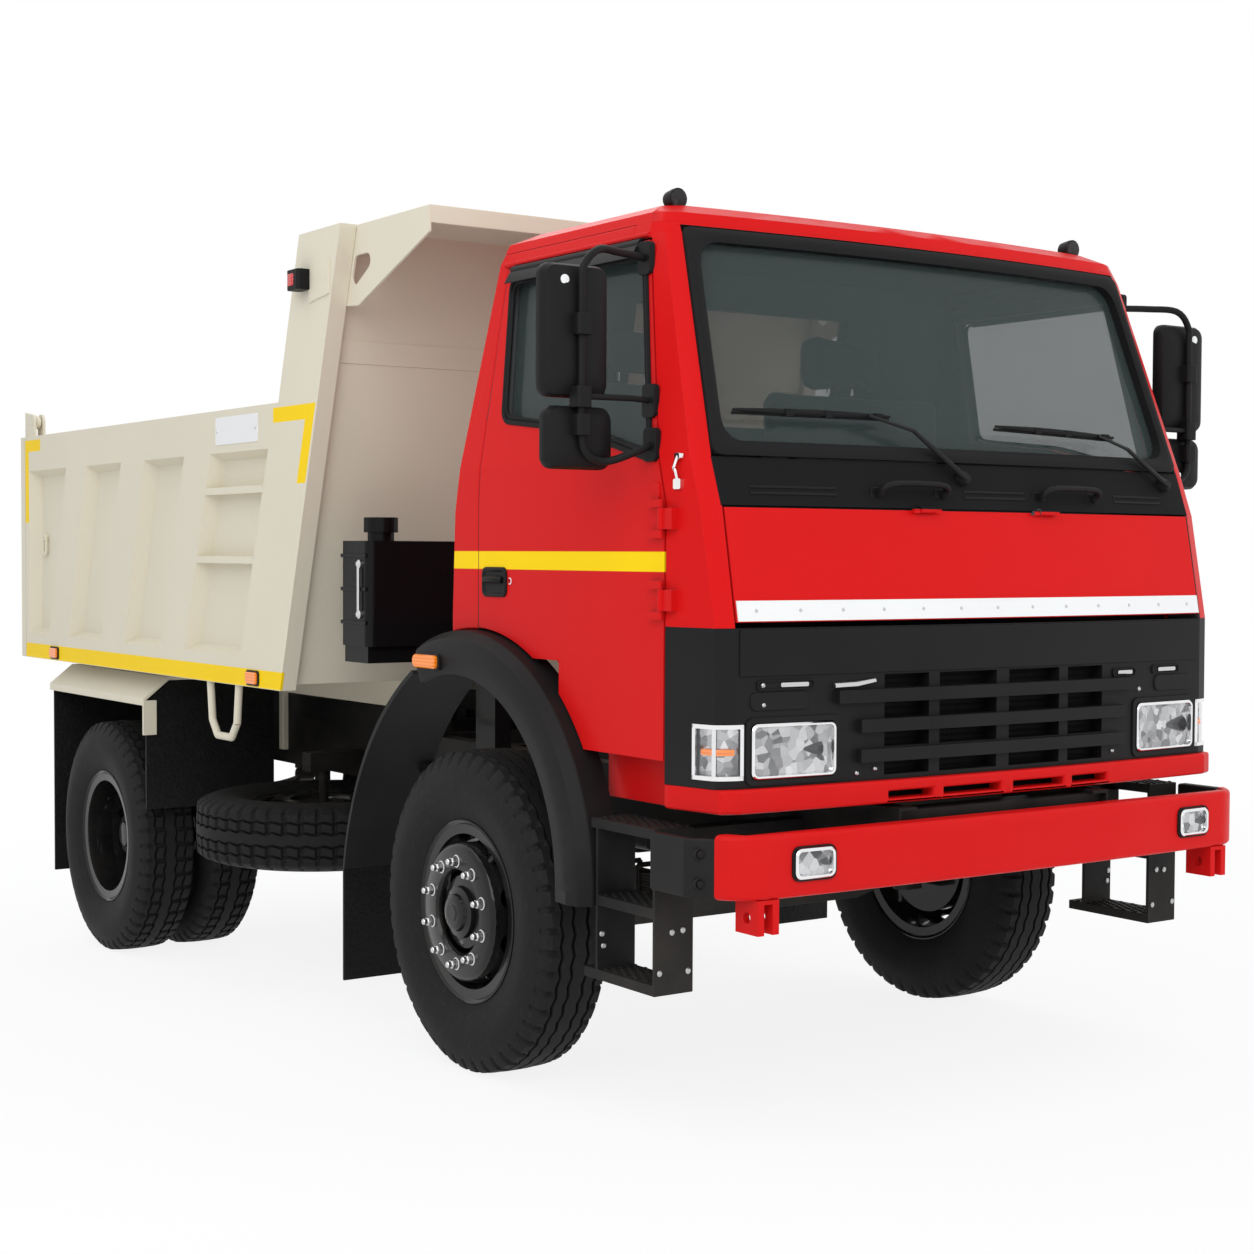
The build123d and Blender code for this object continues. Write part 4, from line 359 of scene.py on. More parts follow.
def make_finishes():
    """Every finish of the truck, by name."""
    tones = colours()
    made = {}
    made["cab"] = paint_finish("cab_red", tones.cab)
    lining = (inside_cab, tones.lining, 0.35)
    made["cab_side"] = paint_finish(
        "cab_red_side", tones.cab, [(cab_stripe, tones.marking, 0.0), lining])
    made["cab_front"] = paint_finish("cab_red_front", tones.cab, [(cowl_panel, tones.trim, 0.30), lining])
    made["cab_sill"] = paint_finish("cab_red_sill", tones.cab, [(under_cab, tones.chassis, 0.30)])
    made["cab_lined"] = paint_finish("cab_red_lined", tones.cab, [lining])
    bands = [(mask, tones.marking, 0.0) for mask in bed_markings()]
    made["bed"] = paint_finish("bed_cream", tones.bed, gloss=0.42, coat=0.03, dust=0.12)
    made["bed_side"] = paint_finish("bed_cream_marked", tones.bed, bands, gloss=0.42, coat=0.03, dust=0.12)
    made["white"] = paint_finish("white_sheet", (0.83, 0.83, 0.82), gloss=0.35, coat=0.0, dust=0.1)
    made["chassis"] = paint_finish("chassis_black", tones.chassis, gloss=0.42, coat=0.05, dust=0.14)
    made["wheel"] = paint_finish("wheel_black", tones.chassis, gloss=0.24, coat=0.45, dust=0.05)
    made["tank"] = paint_finish("tank_black", tones.chassis, gloss=0.34, coat=0.12, dust=0.06)
    made["trim"] = grained_finish("trim_black", tones.trim, 0.0016, 0.44, 0.05)
    made["step"] = grained_finish("step_black", tones.trim, 0.004, 0.5, 0.10)
    made["dash"] = grained_finish("dash_black", (0.035, 0.036, 0.038), 0.002, 0.6, 0.1)
    made["rubber"] = grained_finish("seal_rubber", tones.rubber, 0.003, 0.55, 0.1)
    made["tyre"] = tyre_finish()
    made["flap"] = pebbled_finish()
    made["iron"] = iron_finish()
    made["steel"] = metal_finish("bright_steel", tones.steel, 0.24)
    made["rod"] = metal_finish("polished_rod", (0.72, 0.72, 0.73), 0.12)
    made["chrome"] = metal_finish("chrome", (0.86, 0.86, 0.87), 0.07)
    made["mirror"] = metal_finish("mirror_glass", (0.80, 0.82, 0.83), 0.02)
    made["bolt"] = metal_finish("zinc_bolt", (0.50, 0.50, 0.50), 0.38)
    made["reflector"] = reflector_finish()
    made["screen"] = glass_finish("window_glass", tones.glass, 0.37)
    made["lens"] = glass_finish("clear_lens", (0.75, 0.77, 0.78), 0.03)
    made["amber"] = lens_finish("amber_lens", tones.amber)
    made["stop"] = lens_finish("red_lens", tones.stop)
    made["white_lens"] = lens_finish("white_lens", (0.80, 0.80, 0.80))
    made["core"] = core_finish()
    made["cloth"] = cloth_finish()
    return made


def grained_finish(name, colour, grain, rough, dust):
    """Moulded plastic or rubber with a fine grain and settled dust."""
    finish = Finish(name)
    drift = finish.noise(0.25, 3.0)
    skin = finish.noise(grain, 3.0)
    grime = finish.dusty(most=dust)
    return finish.done(
        Base_Color=finish.mix(grime, finish.shades(colour, drift, 0.18), colours().dust),
        Roughness=rough + drift * 0.12 + grime * 0.3,
        Specular_IOR_Level=0.13,
        Normal=finish.bump(skin, 0.22, 0.0006),
    )


def tyre_finish():
    """Tyre rubber: a fine matt skin, greyed where it meets the road."""
    finish = Finish("tyre_rubber")
    drift = finish.noise(0.12, 4.0)
    scuff = finish.noise(0.02, 5.0).above(0.62, 0.2) * 0.25
    grey = finish.mix(scuff, finish.shades(colours().rubber, drift, 0.25), (0.032, 0.031, 0.030))
    return finish.done(
        Base_Color=grey,
        Roughness=0.62 + drift * 0.2,
        Specular_IOR_Level=0.2,
        Normal=finish.bump(finish.noise(0.0025, 3.0), 0.25, 0.0008),
    )


def pebbled_finish():
    """Mud flaps with moulded pebbles."""
    finish = Finish("flap_rubber")
    pebbles = finish.cells(0.014)
    grime = finish.dusty(most=0.02)
    return finish.done(
        Base_Color=finish.mix(grime, finish.shades(colours().rubber, pebbles, 0.35), colours().dust),
        Roughness=0.42 + pebbles * 0.25,
        Specular_IOR_Level=0.12,
        Normal=finish.bump(1 - pebbles, 0.6, 0.004),
    )


def iron_finish():
    """Rough castings and spring steel, with a little rust under the dust."""
    finish = Finish("axle_iron")
    rust = finish.noise(0.07, 6.0).above(0.66, 0.12) * 0.35
    body = finish.mix(rust, finish.shades(colours().iron, finish.noise(0.2), 0.2), (0.11, 0.045, 0.02))
    grime = finish.dusty(most=0.16)
    return finish.done(
        Base_Color=finish.mix(grime, body, colours().dust),
        Metallic=0.1,
        Roughness=0.6 + rust * 0.5,
        Specular_IOR_Level=0.3,
        Normal=finish.bump(finish.noise(0.006, 4.0), 0.35, 0.001),
    )


def metal_finish(name, colour, rough):
    """Bright metal with a light drift of handling marks."""
    finish = Finish(name)
    marks = finish.noise(0.05, 5.0)
    return finish.done(
        Base_Color=finish.shades(colour, marks, 0.08),
        Metallic=1.0,
        Roughness=rough + marks * 0.08,
    )


def glass_finish(name, colour, cover):
    """Tinted glass with an uneven film of dust."""
    finish = Finish(name)
    film = finish.noise(0.5, 4.0)
    return finish.done(
        Base_Color=finish.shades(colour, film, 0.06),
        Roughness=0.02 + film * 0.02,
        Alpha=cover + film * 0.06,
        Specular_IOR_Level=0.3,
        IOR=1.5,
    )


def reflector_finish():
    """A lamp's faceted bowl with a painted reflection: each cell's metal colour is set lighter or darker at
    random, as if it caught more light or less.
    """
    finish = Finish("lamp_reflector")
    cells = finish.facets(0.026)
    return finish.done(
        # painted reflection: the metal's colour goes lighter or darker from cell to cell
        Base_Color=finish.shades((0.44, 0.44, 0.45), cells, 0.95),
        Metallic=1.0,
        Roughness=0.10 + cells * 0.15,
    )


def lens_finish(name, colour):
    """Coloured lens with moulded ribs."""
    finish = Finish(name)
    _, _, z = finish.drawing()
    ribs = (z * 0.55).math("SINE", z * 0.55) * 0.5 + 0.5
    return finish.done(
        Base_Color=finish.shades(colour, ribs, 0.2),
        Roughness=0.12,
        Coat_Weight=0.4,
        Normal=finish.bump(ribs, 0.25, 0.001),
        Emission_Color=finish.shades(colour, ribs, 0.2),
        Emission_Strength=0.08,
    )


def core_finish():
    """Radiator core: fine upright fins."""
    finish = Finish("radiator_core")
    x, _, z = finish.drawing()
    fins = (x * 1.2).math("SINE", x * 1.2) * 0.5 + 0.5
    rows = (z * 0.35).math("SINE", z * 0.35).above(0.2, 0.4)
    return finish.done(
        Base_Color=finish.shades((0.005, 0.005, 0.005), fins, 0.5),
        Roughness=0.55 + rows * 0.2,
        Specular_IOR_Level=0.1,
        Normal=finish.bump(fins + rows, 0.3, 0.003),
    )


def cloth_finish():
    """Woven seat cover with a crossed weave."""
    finish = Finish("seat_cloth")
    x, y, z = finish.drawing()
    thread = 2.1
    across = (x * thread).math("SINE", x * thread)
    along = ((y + z) * thread).math("SINE", (y + z) * thread)
    weave = across * along * 0.5 + 0.5
    worn = finish.noise(0.15, 3.0)
    return finish.done(
        Base_Color=finish.shades(colours().cloth, weave * 0.5 + worn * 0.5, 0.4),
        Roughness=0.85,
        Sheen_Weight=0.3,
        Normal=finish.bump(weave, 0.4, 0.0012),
    )


FINISHES = {}


def ring_of(points, count):
    """A closed loop of points, taken again at even lengths."""
    loop = np.array([*points, points[0]], float)
    length = np.r_[0, np.cumsum(np.linalg.norm(np.diff(loop, axis=0), axis=1))]
    at = np.linspace(0, length[-1], count, endpoint=False)
    return np.stack([np.interp(at, length, loop[:, k]) for k in range(loop.shape[1])], axis=1)


def rounded(width, height, radius, steps=5, centre=(0.0, 0.0)):
    """Corners of a rounded rectangle about a centre, anticlockwise."""
    points = []
    for quarter, (sx, sy) in enumerate(((1, 1), (-1, 1), (-1, -1), (1, -1))):
        for step in range(steps + 1):
            turn = (quarter + step / steps) * math.pi / 2
            points.append((
                centre[0] + sx * (width / 2 - radius) + radius * math.cos(turn),
                centre[1] + sy * (height / 2 - radius) + radius * math.sin(turn),
            ))
    return points


def eased(points, steps=6):
    """A smooth line through a few points."""
    knots = [Vector(p) for p in points]
    line = []
    for k in range(len(knots) - 1):
        before, start = knots[max(k - 1, 0)], knots[k]
        end, after = knots[k + 1], knots[min(k + 2, len(knots) - 1)]
        for step in range(steps):
            t = step / steps
            line.append(0.5 * (
                2 * start + (end - before) * t + (2 * before - 5 * start + 4 * end - after) * t * t
                + (3 * start - before - 3 * end + after) * t ** 3))
    return [*line, knots[-1]]


class Form:
    """A mesh in the making, drawn level in millimetres."""

    def __init__(self, placed=None):
        self.mesh = bmesh.new()
        self.placed = placed or Matrix()

    def vert(self, point):
        return self.mesh.verts.new(self.placed @ Vector(point))

    def loft(self, rings, closed=True, caps=True, around=False):
        """Joins rings of equal counts; around also joins the last ring to the first."""
        rows = [[self.vert(p) for p in ring] for ring in rings]
        spans = list(zip(rows, rows[1:])) + ([(rows[-1], rows[0])] if around else [])
        for low, high in spans:
            count = len(low)
            for k in range(count if closed else count - 1):
                n = (k + 1) % count
                self.mesh.faces.new((low[k], low[n], high[n], high[k]))
        if caps and closed and not around:
            self.mesh.faces.new(rows[0][::-1])
            self.mesh.faces.new(rows[-1])
        return rows

    def block(self, x, y, z, round_by=0.0):
        """A box between limits, its upright corners rounded."""
        width, depth = abs(x[1] - x[0]), abs(y[1] - y[0])
        centre = ((x[0] + x[1]) / 2, (y[0] + y[1]) / 2)
        if round_by:
            plan = rounded(width, depth, round_by, 4, centre)
        else:
            plan = [(centre[0] + sx * width / 2, centre[1] + sy * depth / 2)
                    for sx, sy in ((1, 1), (-1, 1), (-1, -1), (1, -1))]
        self.loft([[(px, py, level) for px, py in plan] for level in sorted(z)])

    def stack(self, axis, centre, rows, steps=5):
        """Joins rounded outlines (width, height, radius, level) set out along an axis about a centre."""
        order = {"X": (2, 0, 1), "Y": (0, 2, 1), "Z": (0, 1, 2)}[axis]
        rings = []
        for width, height, radius, level in rows:
            outline = rounded(width, height, radius, steps, centre)
            rings.append([[(u, v, level)[k] for k in order] for u, v in outline])
        self.loft(rings)

    def slab(self, outline, y):
        """A front outline of (x, z) points carried along y."""
        self.loft([[(px, level, pz) for px, pz in outline] for level in y])

    def side_slab(self, outline, x):
        """A side outline of (y, z) points carried along x."""
        self.loft([[(level, py, pz) for py, pz in outline] for level in x])

    def lathe(self, profile, centre, axis="X", count=64, closed=False):
        """Turns (along, radius) points about an axis through a centre."""
        rings = []
        for step in range(count):
            turn = 2 * math.pi * step / count
            rings.append([self.turn_point(a, r, turn, centre, axis) for a, r in profile])
        self.loft(rings, closed=closed, caps=False, around=True)

    @staticmethod
    def turn_point(along, radius, turn, centre, axis):
        c, s = radius * math.cos(turn), radius * math.sin(turn)
        offset = {"X": (along, c, s), "Y": (c, along, s), "Z": (c, s, along)}[axis]
        return [a + b for a, b in zip(centre, offset)]

    def tube(self, points, radius, count=12, flat=1.0):
        """A round or flattened bar along a line of points."""
        line = [Vector(p) for p in points]
        rings = []
        side = None
        for k, point in enumerate(line):
            way = (line[min(k + 1, len(line) - 1)] - line[max(k - 1, 0)]).normalized()
            if side is None:
                side = way.orthogonal().normalized()
            side = (side - way * side.dot(way)).normalized()
            up = way.cross(side)
            size = radius[k] if isinstance(radius, (list, tuple)) else radius
            rings.append([
                point + size * (side * math.cos(a) + up * math.sin(a) * flat)
                for a in (2 * math.pi * n / count for n in range(count))
            ])
        self.loft(rings)

    def nut(self, centre, axis, width, height, sides=6):
        """A hexagon nut or a bolt's head, standing along an axis from its seat."""
        self.lathe(
            [(0, 0.001), (0, width / 2), (height * 0.8, width / 2), (height, width * 0.42), (height, 0.001)],
            centre, axis, sides)

    def stud(self, centre, axis, radius, height, count=12):
        """A round pin from a seat."""
        self.lathe([(0, radius), (height * 0.92, radius), (height, radius * 0.8), (height, 0.001)],
                   centre, axis, count)

    def sheet(self, grid, thick):
        """A thick sheet over a grid of points, its back set off along y."""
        front = [[self.vert(p) for p in row] for row in grid]
        back = [[self.vert(Vector(p) + Vector((0, thick, 0))) for p in row] for row in grid]
        rows, columns = len(grid), len(grid[0])
        for r in range(rows - 1):
            for c in range(columns - 1):
                for face, flip in ((front, False), (back, True)):
                    loop = [face[r][c], face[r][c + 1], face[r + 1][c + 1], face[r + 1][c]]
                    self.mesh.faces.new(loop[::-1] if flip else loop)
        edge = [(0, c) for c in range(columns)] + [(r, columns - 1) for r in range(1, rows)]
        edge += [(rows - 1, c) for c in range(columns - 2, -1, -1)] + [(r, 0) for r in range(rows - 2, 0, -1)]
        for (r, c), (p, q) in zip(edge, edge[1:] + edge[:1]):
            self.mesh.faces.new((front[p][q], front[r][c], back[r][c], back[p][q]))

    def mirrored(self):
        """Adds the same mesh on the truck's other side."""
        whole = self.mesh.verts[:] + self.mesh.edges[:] + self.mesh.faces[:]
        copy = bmesh.ops.duplicate(self.mesh, geom=whole)
        moved = [g for g in copy["geom"] if isinstance(g, bmesh.types.BMVert)]
        faces = [g for g in copy["geom"] if isinstance(g, bmesh.types.BMFace)]
        bmesh.ops.scale(self.mesh, vec=(-1, 1, 1), verts=moved)
        bmesh.ops.reverse_faces(self.mesh, faces=faces)
        return self

    def piece(self, name, finish, body="truck", replaces=(), slot=None, crease=32.0, bevel=0.0):
        """Stands the mesh in the truck, finishes it and hands it to a body; the slot argument is not used."""
        bmesh.ops.remove_doubles(self.mesh, verts=self.mesh.verts, dist=0.01)
        bmesh.ops.transform(self.mesh, matrix=STANCE, verts=self.mesh.verts)
        bmesh.ops.recalc_face_normals(self.mesh, faces=self.mesh.faces)
        for face in self.mesh.faces:
            face.smooth = True
        for edge in self.mesh.edges:
            edge.smooth = len(edge.link_faces) == 2 and edge.calc_face_angle(0) < math.radians(crease)
        data = bpy.data.meshes.new(name)
        self.mesh.to_mesh(data)
        self.mesh.free()
        made = bpy.data.objects.new(name, data)
        bpy.context.scene.collection.objects.link(made)
        made.data.materials.append(FINISHES[finish])
        if bevel:
            soften(made, bevel)
        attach(made, body)
        if replaces:
            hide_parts(*replaces)
        return made


def soften(made, width, weld=False):
    """Rounds a piece's sharp edges."""
    if weld:
        made.modifiers.new("weld", "WELD").merge_threshold = 0.00005
    bevel = made.modifiers.new("soften", "BEVEL")
    bevel.width = width * MM
    bevel.segments = 3
    bevel.limit_method = "ANGLE"
    bevel.angle_limit = math.radians(28)
    bevel.use_clamp_overlap = True
    bevel.harden_normals = False
    made.modifiers.new("normals", "WEIGHTED_NORMAL").keep_sharp = True


def touch(node, start, way):
    """Where a ray of the level drawing meets a CAD node."""
    origin = STANCE @ Vector(start)
    heading = STANCE.to_3x3().normalized() @ Vector(way)
    hit, place, _, _ = NODES[node].ray_cast(origin, heading)
    if not hit:
        raise RuntimeError(f"{node} isn't met from {tuple(start)}")
    return LEVEL @ place


def middle_of(node):
    """A CAD node's middle in the level drawing."""
    low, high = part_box(node)
    return LEVEL @ ((Vector(low) + Vector(high)) / 2)


FLIP = Matrix.Scale(-1, 4, (1, 0, 0))
NODE_FINISHES = {
    # finish: {node: width of its softened edges}
    "cab": {"valance": 9, "bumper": 5},
    "cab_side": {"cab_sides": 6, "door_right": 5, "door_left": 5},
    "cab_front": {"cab_front": 6, "front_flap": 5},
    "cab_lined": {"cab_roof": 14, "cab_back": 8},
    "cab_sill": {"cab_floor": 3},
    "trim": {"fascia": 5, "bumper_caps": 7, "front_flares": 5, "front_guards": 2},
    "step": {"cab_steps": 2.5},
    "bed": {"bulkhead": 3, "bed_floor": 3, "rear_guards": 2, "tailgate": 5},
    "bed_side": {"bed_sides": 5},
    "flap": {"mud_flaps": 2},
    "chassis": {"chassis_frame": 2, "subframe": 3, "tail_bar": 3, "hoist_barrel": 2},
    "iron": {
        "front_axle": 4, "rear_axle": 4, "drive_line": 5, "knuckle_right": 3, "knuckle_left": 3,
    },
    "tank": {"fuel_tank": 6, "oil_tank": 6},
    "rod": {"hoist_stage_1": 1, "hoist_stage_2": 1, "hoist_rod": 1},
    "screen": {"cab_glass": 0, "door_glass_right": 0, "door_glass_left": 0},
    "dash": {"dashboard": 10, "steering_wheel": 0},
}


class TRUCK_OT_frame(bpy.types.Operator):
    """Gives the CAD nodes that stay in view their finishes and softened edges"""

    bl_idname = "truck.frame"
    bl_label = "Finish the frame"

    def execute(self, context):
        FINISHES.update(make_finishes())
        for finish, nodes in NODE_FINISHES.items():
            for node, width in nodes.items():
                made = NODES[node]
                made.data.materials.clear()
                made.data.materials.append(FINISHES[finish])
                if width:
                    soften(made, width, weld=True)
        return {"FINISHED"}


TYRE_RADIUS = 525.0
TREAD_HALF = 107.0
GROOVES = (26.0, 68.0)
GROOVE_HALF = 5.5
SIDEWALL = (
    # along, radius, from the bead out to the shoulder
    (91, 262), (94, 290), (103, 300), (113, 318), (123, 340), (125, 346), (131, 366), (136, 392),
    (137.5, 412), (135.5, 436), (133.5, 444), (129, 462), (124, 478),
)
SHOULDER = ((119, 492), (115, 502), (108, 511))
RIB_EDGES = (101, 86)
PITCH_STEPS = 8


def tyre_section(step, depth, blocks):
    """(along, radius) points across a tyre at one step round its tread."""
    notch = depth * 0.85 if step % PITCH_STEPS >= PITCH_STEPS - 2 else 0.0
    zig = 4.0 * abs((step % PITCH_STEPS) / PITCH_STEPS - 0.5) * 4 - 4.0

    def crown(x, drop=0.0):
        return TYRE_RADIUS - 6 * (x / TREAD_HALF) ** 2 - drop

    half = [*SIDEWALL, *((x, r - notch) for x, r in SHOULDER)]
    half += [(x, crown(x, notch)) for x in RIB_EDGES]
    outer, inner = GROOVES[1], GROOVES[0]
    second = notch if blocks else 0.0
    half += [(outer + GROOVE_HALF, crown(outer)), (outer + GROOVE_HALF - 2, crown(outer, depth)),
             (outer - GROOVE_HALF + 2, crown(outer, depth)), (outer - GROOVE_HALF, crown(outer, second)),
             (inner + GROOVE_HALF, crown(inner, second)), (inner + GROOVE_HALF - 2, crown(inner, depth)),
             (inner - GROOVE_HALF + 2, crown(inner, depth)), (inner - GROOVE_HALF, crown(inner))]
    grooved = len(half) - 8
    right = [(x + (zig if k >= grooved else 0.0), r) for k, (x, r) in enumerate(half)]
    left = [(-x + (zig if k >= grooved else 0.0), r) for k, (x, r) in enumerate(half)]
    return [*left, *right[::-1]]


def tyre(form, blocks):
    """A tyre about the X axis, turned step by step so that its tread is cut into it."""
    depth = sizes().tread_depth / MM
    count = sizes().tread_pitches * PITCH_STEPS
    rings = []
    for step in range(count):
        turn = 2 * math.pi * step / count
        section = tyre_section(step, depth, blocks)
        rings.append([Form.turn_point(a, r, turn, (0, 0, 0), "X") for a, r in section])
    form.loft(rings, caps=False, around=True)


class TRUCK_OT_tyres(bpy.types.Operator):
    """Builds the ribbed front tyres, the blocked twins behind and the spare"""

    bl_idname = "truck.tyres"
    bl_label = "Tyres"

    def execute(self, context):
        for _, name in SIDES:
            front = Form(Matrix.Translation(middle_of(f"front_tyre_{name}")))
            tyre(front, False)
            front.piece(
                f"tyre_front_{name}", "tyre", f"front_wheel_{name}",
                replaces=[f"front_tyre_{name}"], crease=40)
            centre = middle_of(f"rear_tyres_{name}")
            twins = Form()
            for offset in (-TWIN_HALF, TWIN_HALF):
                twins.placed = Matrix.Translation(centre + Vector((offset, 0, 0)))
                tyre(twins, True)
            twins.piece(
                f"tyres_rear_{name}", "tyre", f"rear_wheels_{name}",
                replaces=[f"rear_tyres_{name}"], crease=40)
        spare = Form(Matrix.Translation(middle_of("spare_tyre")) @ Matrix.Rotation(math.pi / 2, 4, "Y"))
        tyre(spare, True)
        spare.piece("tyre_spare", "tyre", replaces=["spare_tyre"], crease=40)
        return {"FINISHED"}


TWIN_HALF = 157.5
RIM_SECTION = (
    # along, radius, round a rolled rim
    (-105, 288), (-108, 293), (-106, 298), (-100, 299), (-96, 295), (-93, 262), (-60, 254), (60, 254),
    (93, 262), (96, 295), (100, 299), (106, 298), (108, 293), (105, 288), (101, 284), (98, 253), (62, 245),
    (-62, 245), (-98, 253), (-101, 284),
)
BARREL = 246.0
FACE = 133.0             # stud face of the front disc, out from the tyre's middle
FACE_RADIUS = 206.0
PILOT = 140.0
REAR_FACE = 8.0          # stud face of each rear disc, out from between the twins
REAR_PILOT = 104.0
HAND_HOLES = 10
DISC_SHEET = 9.0


def dished_disc(form, start, face, pilot):
    """A wheel's disc: a cone with oval hand holes from the barrel out to the stud face."""
    pitch = 2 * math.pi / HAND_HOLES
    foot, knee = (start, BARREL), (face + (12 if face < start else -12), FACE_RADIUS + 14)

    def cone(across, up):
        along = foot[0] + (knee[0] - foot[0]) * up
        radius = foot[1] + (knee[1] - foot[1]) * up
        return Form.turn_point(along, radius, across, (0, 0, 0), "X")

    steps = 8
    for hole in range(HAND_HOLES):
        centre = (hole + 0.5) * pitch
        edge = [(-1 + 2 * k / steps, 0) for k in range(steps)] + [(1, k / steps) for k in range(steps)]
        edge += [(1 - 2 * k / steps, 1) for k in range(steps)] + [(-1, 1 - k / steps) for k in range(steps)]
        outer, inner = [], []
        for u, v in edge:
            turn = math.atan2(v - 0.5, u * 0.5)
            outer.append(cone(centre + u * pitch / 2, v))
            inner.append(cone(centre + 0.46 * math.cos(turn) * pitch / 2, 0.5 + 0.30 * math.sin(turn)))
        form.loft([outer, inner], caps=False)
    way = 1 if face < start else -1
    form.lathe(
        [knee, (face + way * 4, FACE_RADIUS + 8), (face, FACE_RADIUS), (face, pilot + 4),
         (face + way * 5, pilot), (face + way * 16, pilot - 2)],
        (0, 0, 0), count=120)


def wheel_nuts(form, face, way):
    """A ring of nuts on their studs."""
    count, radius = sizes().nut_count, sizes().nut_circle / MM / 2
    for k in range(count):
        centre = Form.turn_point(face, radius, math.pi * (2 * k + 1) / count, (0, 0, 0), "X")
        form.lathe([(0, 21), (way * 3, 21), (way * 5, 17)], centre, count=18)
        form.nut(centre, "X", 32, way * 24)
        form.stud(centre, "X", 10.5, way * 38)


FRONT_HUB = (
    (60, 60), (60, 196), (0, 196), (-20, 128), (-100, 126), (-112, 118), (-116, 86), (-132, 82), (-138, 62),
    (-150, 58), (-156, 48), (-156, 30), (-160, 26), (-160, 0.01),
)
REAR_HUB = (
    (220, 60), (220, 198), (60, 198), (52, 130), (-8, 128), (-14, 104), (-150, 102), (-162, 88), (-166, 60),
    (-178, 54), (-182, 40), (-182, 0.01),
)


class TRUCK_OT_wheels(bpy.types.Operator):
    """Builds the steel rims, dished discs, hubs and wheel nuts"""

    bl_idname = "truck.wheels"
    bl_label = "Wheels"

    def execute(self, context):
        for side, name in SIDES:
            turn = Matrix.Rotation(0 if side < 0 else math.pi, 4, "Z")
            placed = Matrix.Translation(middle_of(f"front_tyre_{name}")) @ turn
            discs = [(0.0, -30.0, -FACE)]
            self.wheel(placed, name, "front_wheel", "front_rim", "front", discs, FRONT_HUB, -FACE)
            placed = Matrix.Translation(middle_of(f"rear_tyres_{name}")) @ turn
            discs = [(-TWIN_HALF, -TWIN_HALF + 20, -REAR_FACE), (TWIN_HALF, TWIN_HALF - 20, REAR_FACE)]
            self.wheel(placed, name, "rear_wheels", "rear_rims", "rear", discs, REAR_HUB, -REAR_FACE)
        placed = Matrix.Translation(middle_of("spare_tyre")) @ Matrix.Rotation(math.pi / 2, 4, "Y")
        rim = Form(placed)
        rim.lathe(RIM_SECTION, (0, 0, 0), count=96, closed=True)
        rim.piece("rim_spare", "wheel", replaces=["spare_rim"])
        disc = Form(placed)
        dished_disc(disc, -30.0, -FACE + 28, PILOT)
        made = disc.piece("disc_spare", "wheel")
        self.thicken(made)
        return {"FINISHED"}

    @staticmethod
    def thicken(made):
        sheet = made.modifiers.new("sheet", "SOLIDIFY")
        sheet.thickness = DISC_SHEET * MM
        sheet.offset = 0.0

    def wheel(self, placed, name, body, node, label, discs, hub, nut_face):
        rider = f"{body}_{name}"
        rim = Form(placed)
        for offset, _, _ in discs:
            rim.lathe(RIM_SECTION, (offset, 0, 0), count=96, closed=True)
        rim.piece(f"rim_{label}_{name}", "wheel", rider, replaces=[f"{node}_{name}"])
        disc = Form(placed)
        for _, start, face in discs:
            dished_disc(disc, start, face, PILOT if label == "front" else REAR_PILOT)
        self.thicken(disc.piece(f"disc_{label}_{name}", "wheel", rider))
        middle = Form(placed)
        middle.lathe(hub, (0, 0, 0), count=64)
        for k in range(8):
            seat = Form.turn_point(hub[7][0] + 6, 70, k * math.pi / 4, (0, 0, 0), "X")
            middle.nut(seat, "X", 13, -8)
        middle.piece(f"hub_{label}_{name}", "wheel", rider)
        nuts = Form(placed)
        wheel_nuts(nuts, nut_face - DISC_SHEET / 2, -1)
        nuts.piece(f"nuts_{label}_{name}", "steel", rider, crease=25)


SCREEN_SECTIONS = (
    # z, edge x, edge y, bow at the middle
    (1486, 969, -1262, 40), (1825, 975, -1198, 45), (1965, 974, -1149, 50), (2620, 912, -925, 55),
    (2685, 892, -898, 55),
)
CAB_SIDE = 1060.0


def front_y(x, z):
    """The cab's front face at a height."""
    rows = np.array(SCREEN_SECTIONS, float)
    edge_x, edge_y, bow = (np.interp(z, rows[:, 0], rows[:, k]) for k in (1, 2, 3))
    return edge_y - bow * (1 - (x / edge_x) ** 2)


def side_x(z):
    """Half width of the cab at a height."""
    return CAB_SIDE - max(0.0, z - 1965) * 75 / 655


def on_front(x, z, proud=0.0):
    """A point on the cab's front face, or proud of it."""
    return (x, front_y(x, z) - proud, z)


SCREEN = ((974, 1967), (912, 2643), (-912, 2643), (-974, 1967))
SEAL_SECTION = (
    # inset from the screen's edge, corner radius, how far proud of the glass
    (1, 30, -4), (3, 32, 7), (14, 40, 12), (30, 60, 12), (44, 75, 6), (47, 75, -24),
)
WIPERS = (
    # pivot, elbow, joint with the blade and the blade's tip, each as x and z on the screen
    ((-78, 1922), (-256, 2060), (-420, 2100), (-886, 2100)),
    ((872, 1924), (698, 2037), (560, 2076), (100, 2088)),
)
GRAB_HANDLES = ((-429, -157), (233, 508))
GRAB_Z = 1888
COWL_RIBS = ((-720, 300), (50, 260), (720, 240))


def inset_corners(corners, inset, radius, steps=8):
    """A polygon drawn in by a width, with rounded corners."""
    points = []
    count = len(corners)
    lines = []
    for k in range(count):
        a, b = Vector(corners[k]), Vector(corners[(k + 1) % count])
        way = (b - a).normalized()
        lines.append((a + Vector((-way.y, way.x)) * inset, way))
    for k in range(count):
        (a, u), (b, v) = lines[k - 1], lines[k]
        t = (b - a).cross(v) / u.cross(v)
        corner = a + u * t
        start, end = corner - u * radius, corner + v * radius
        for step in range(steps + 1):
            s = step / steps
            points.append((1 - s) ** 2 * start + 2 * s * (1 - s) * corner + s * s * end)
    return points


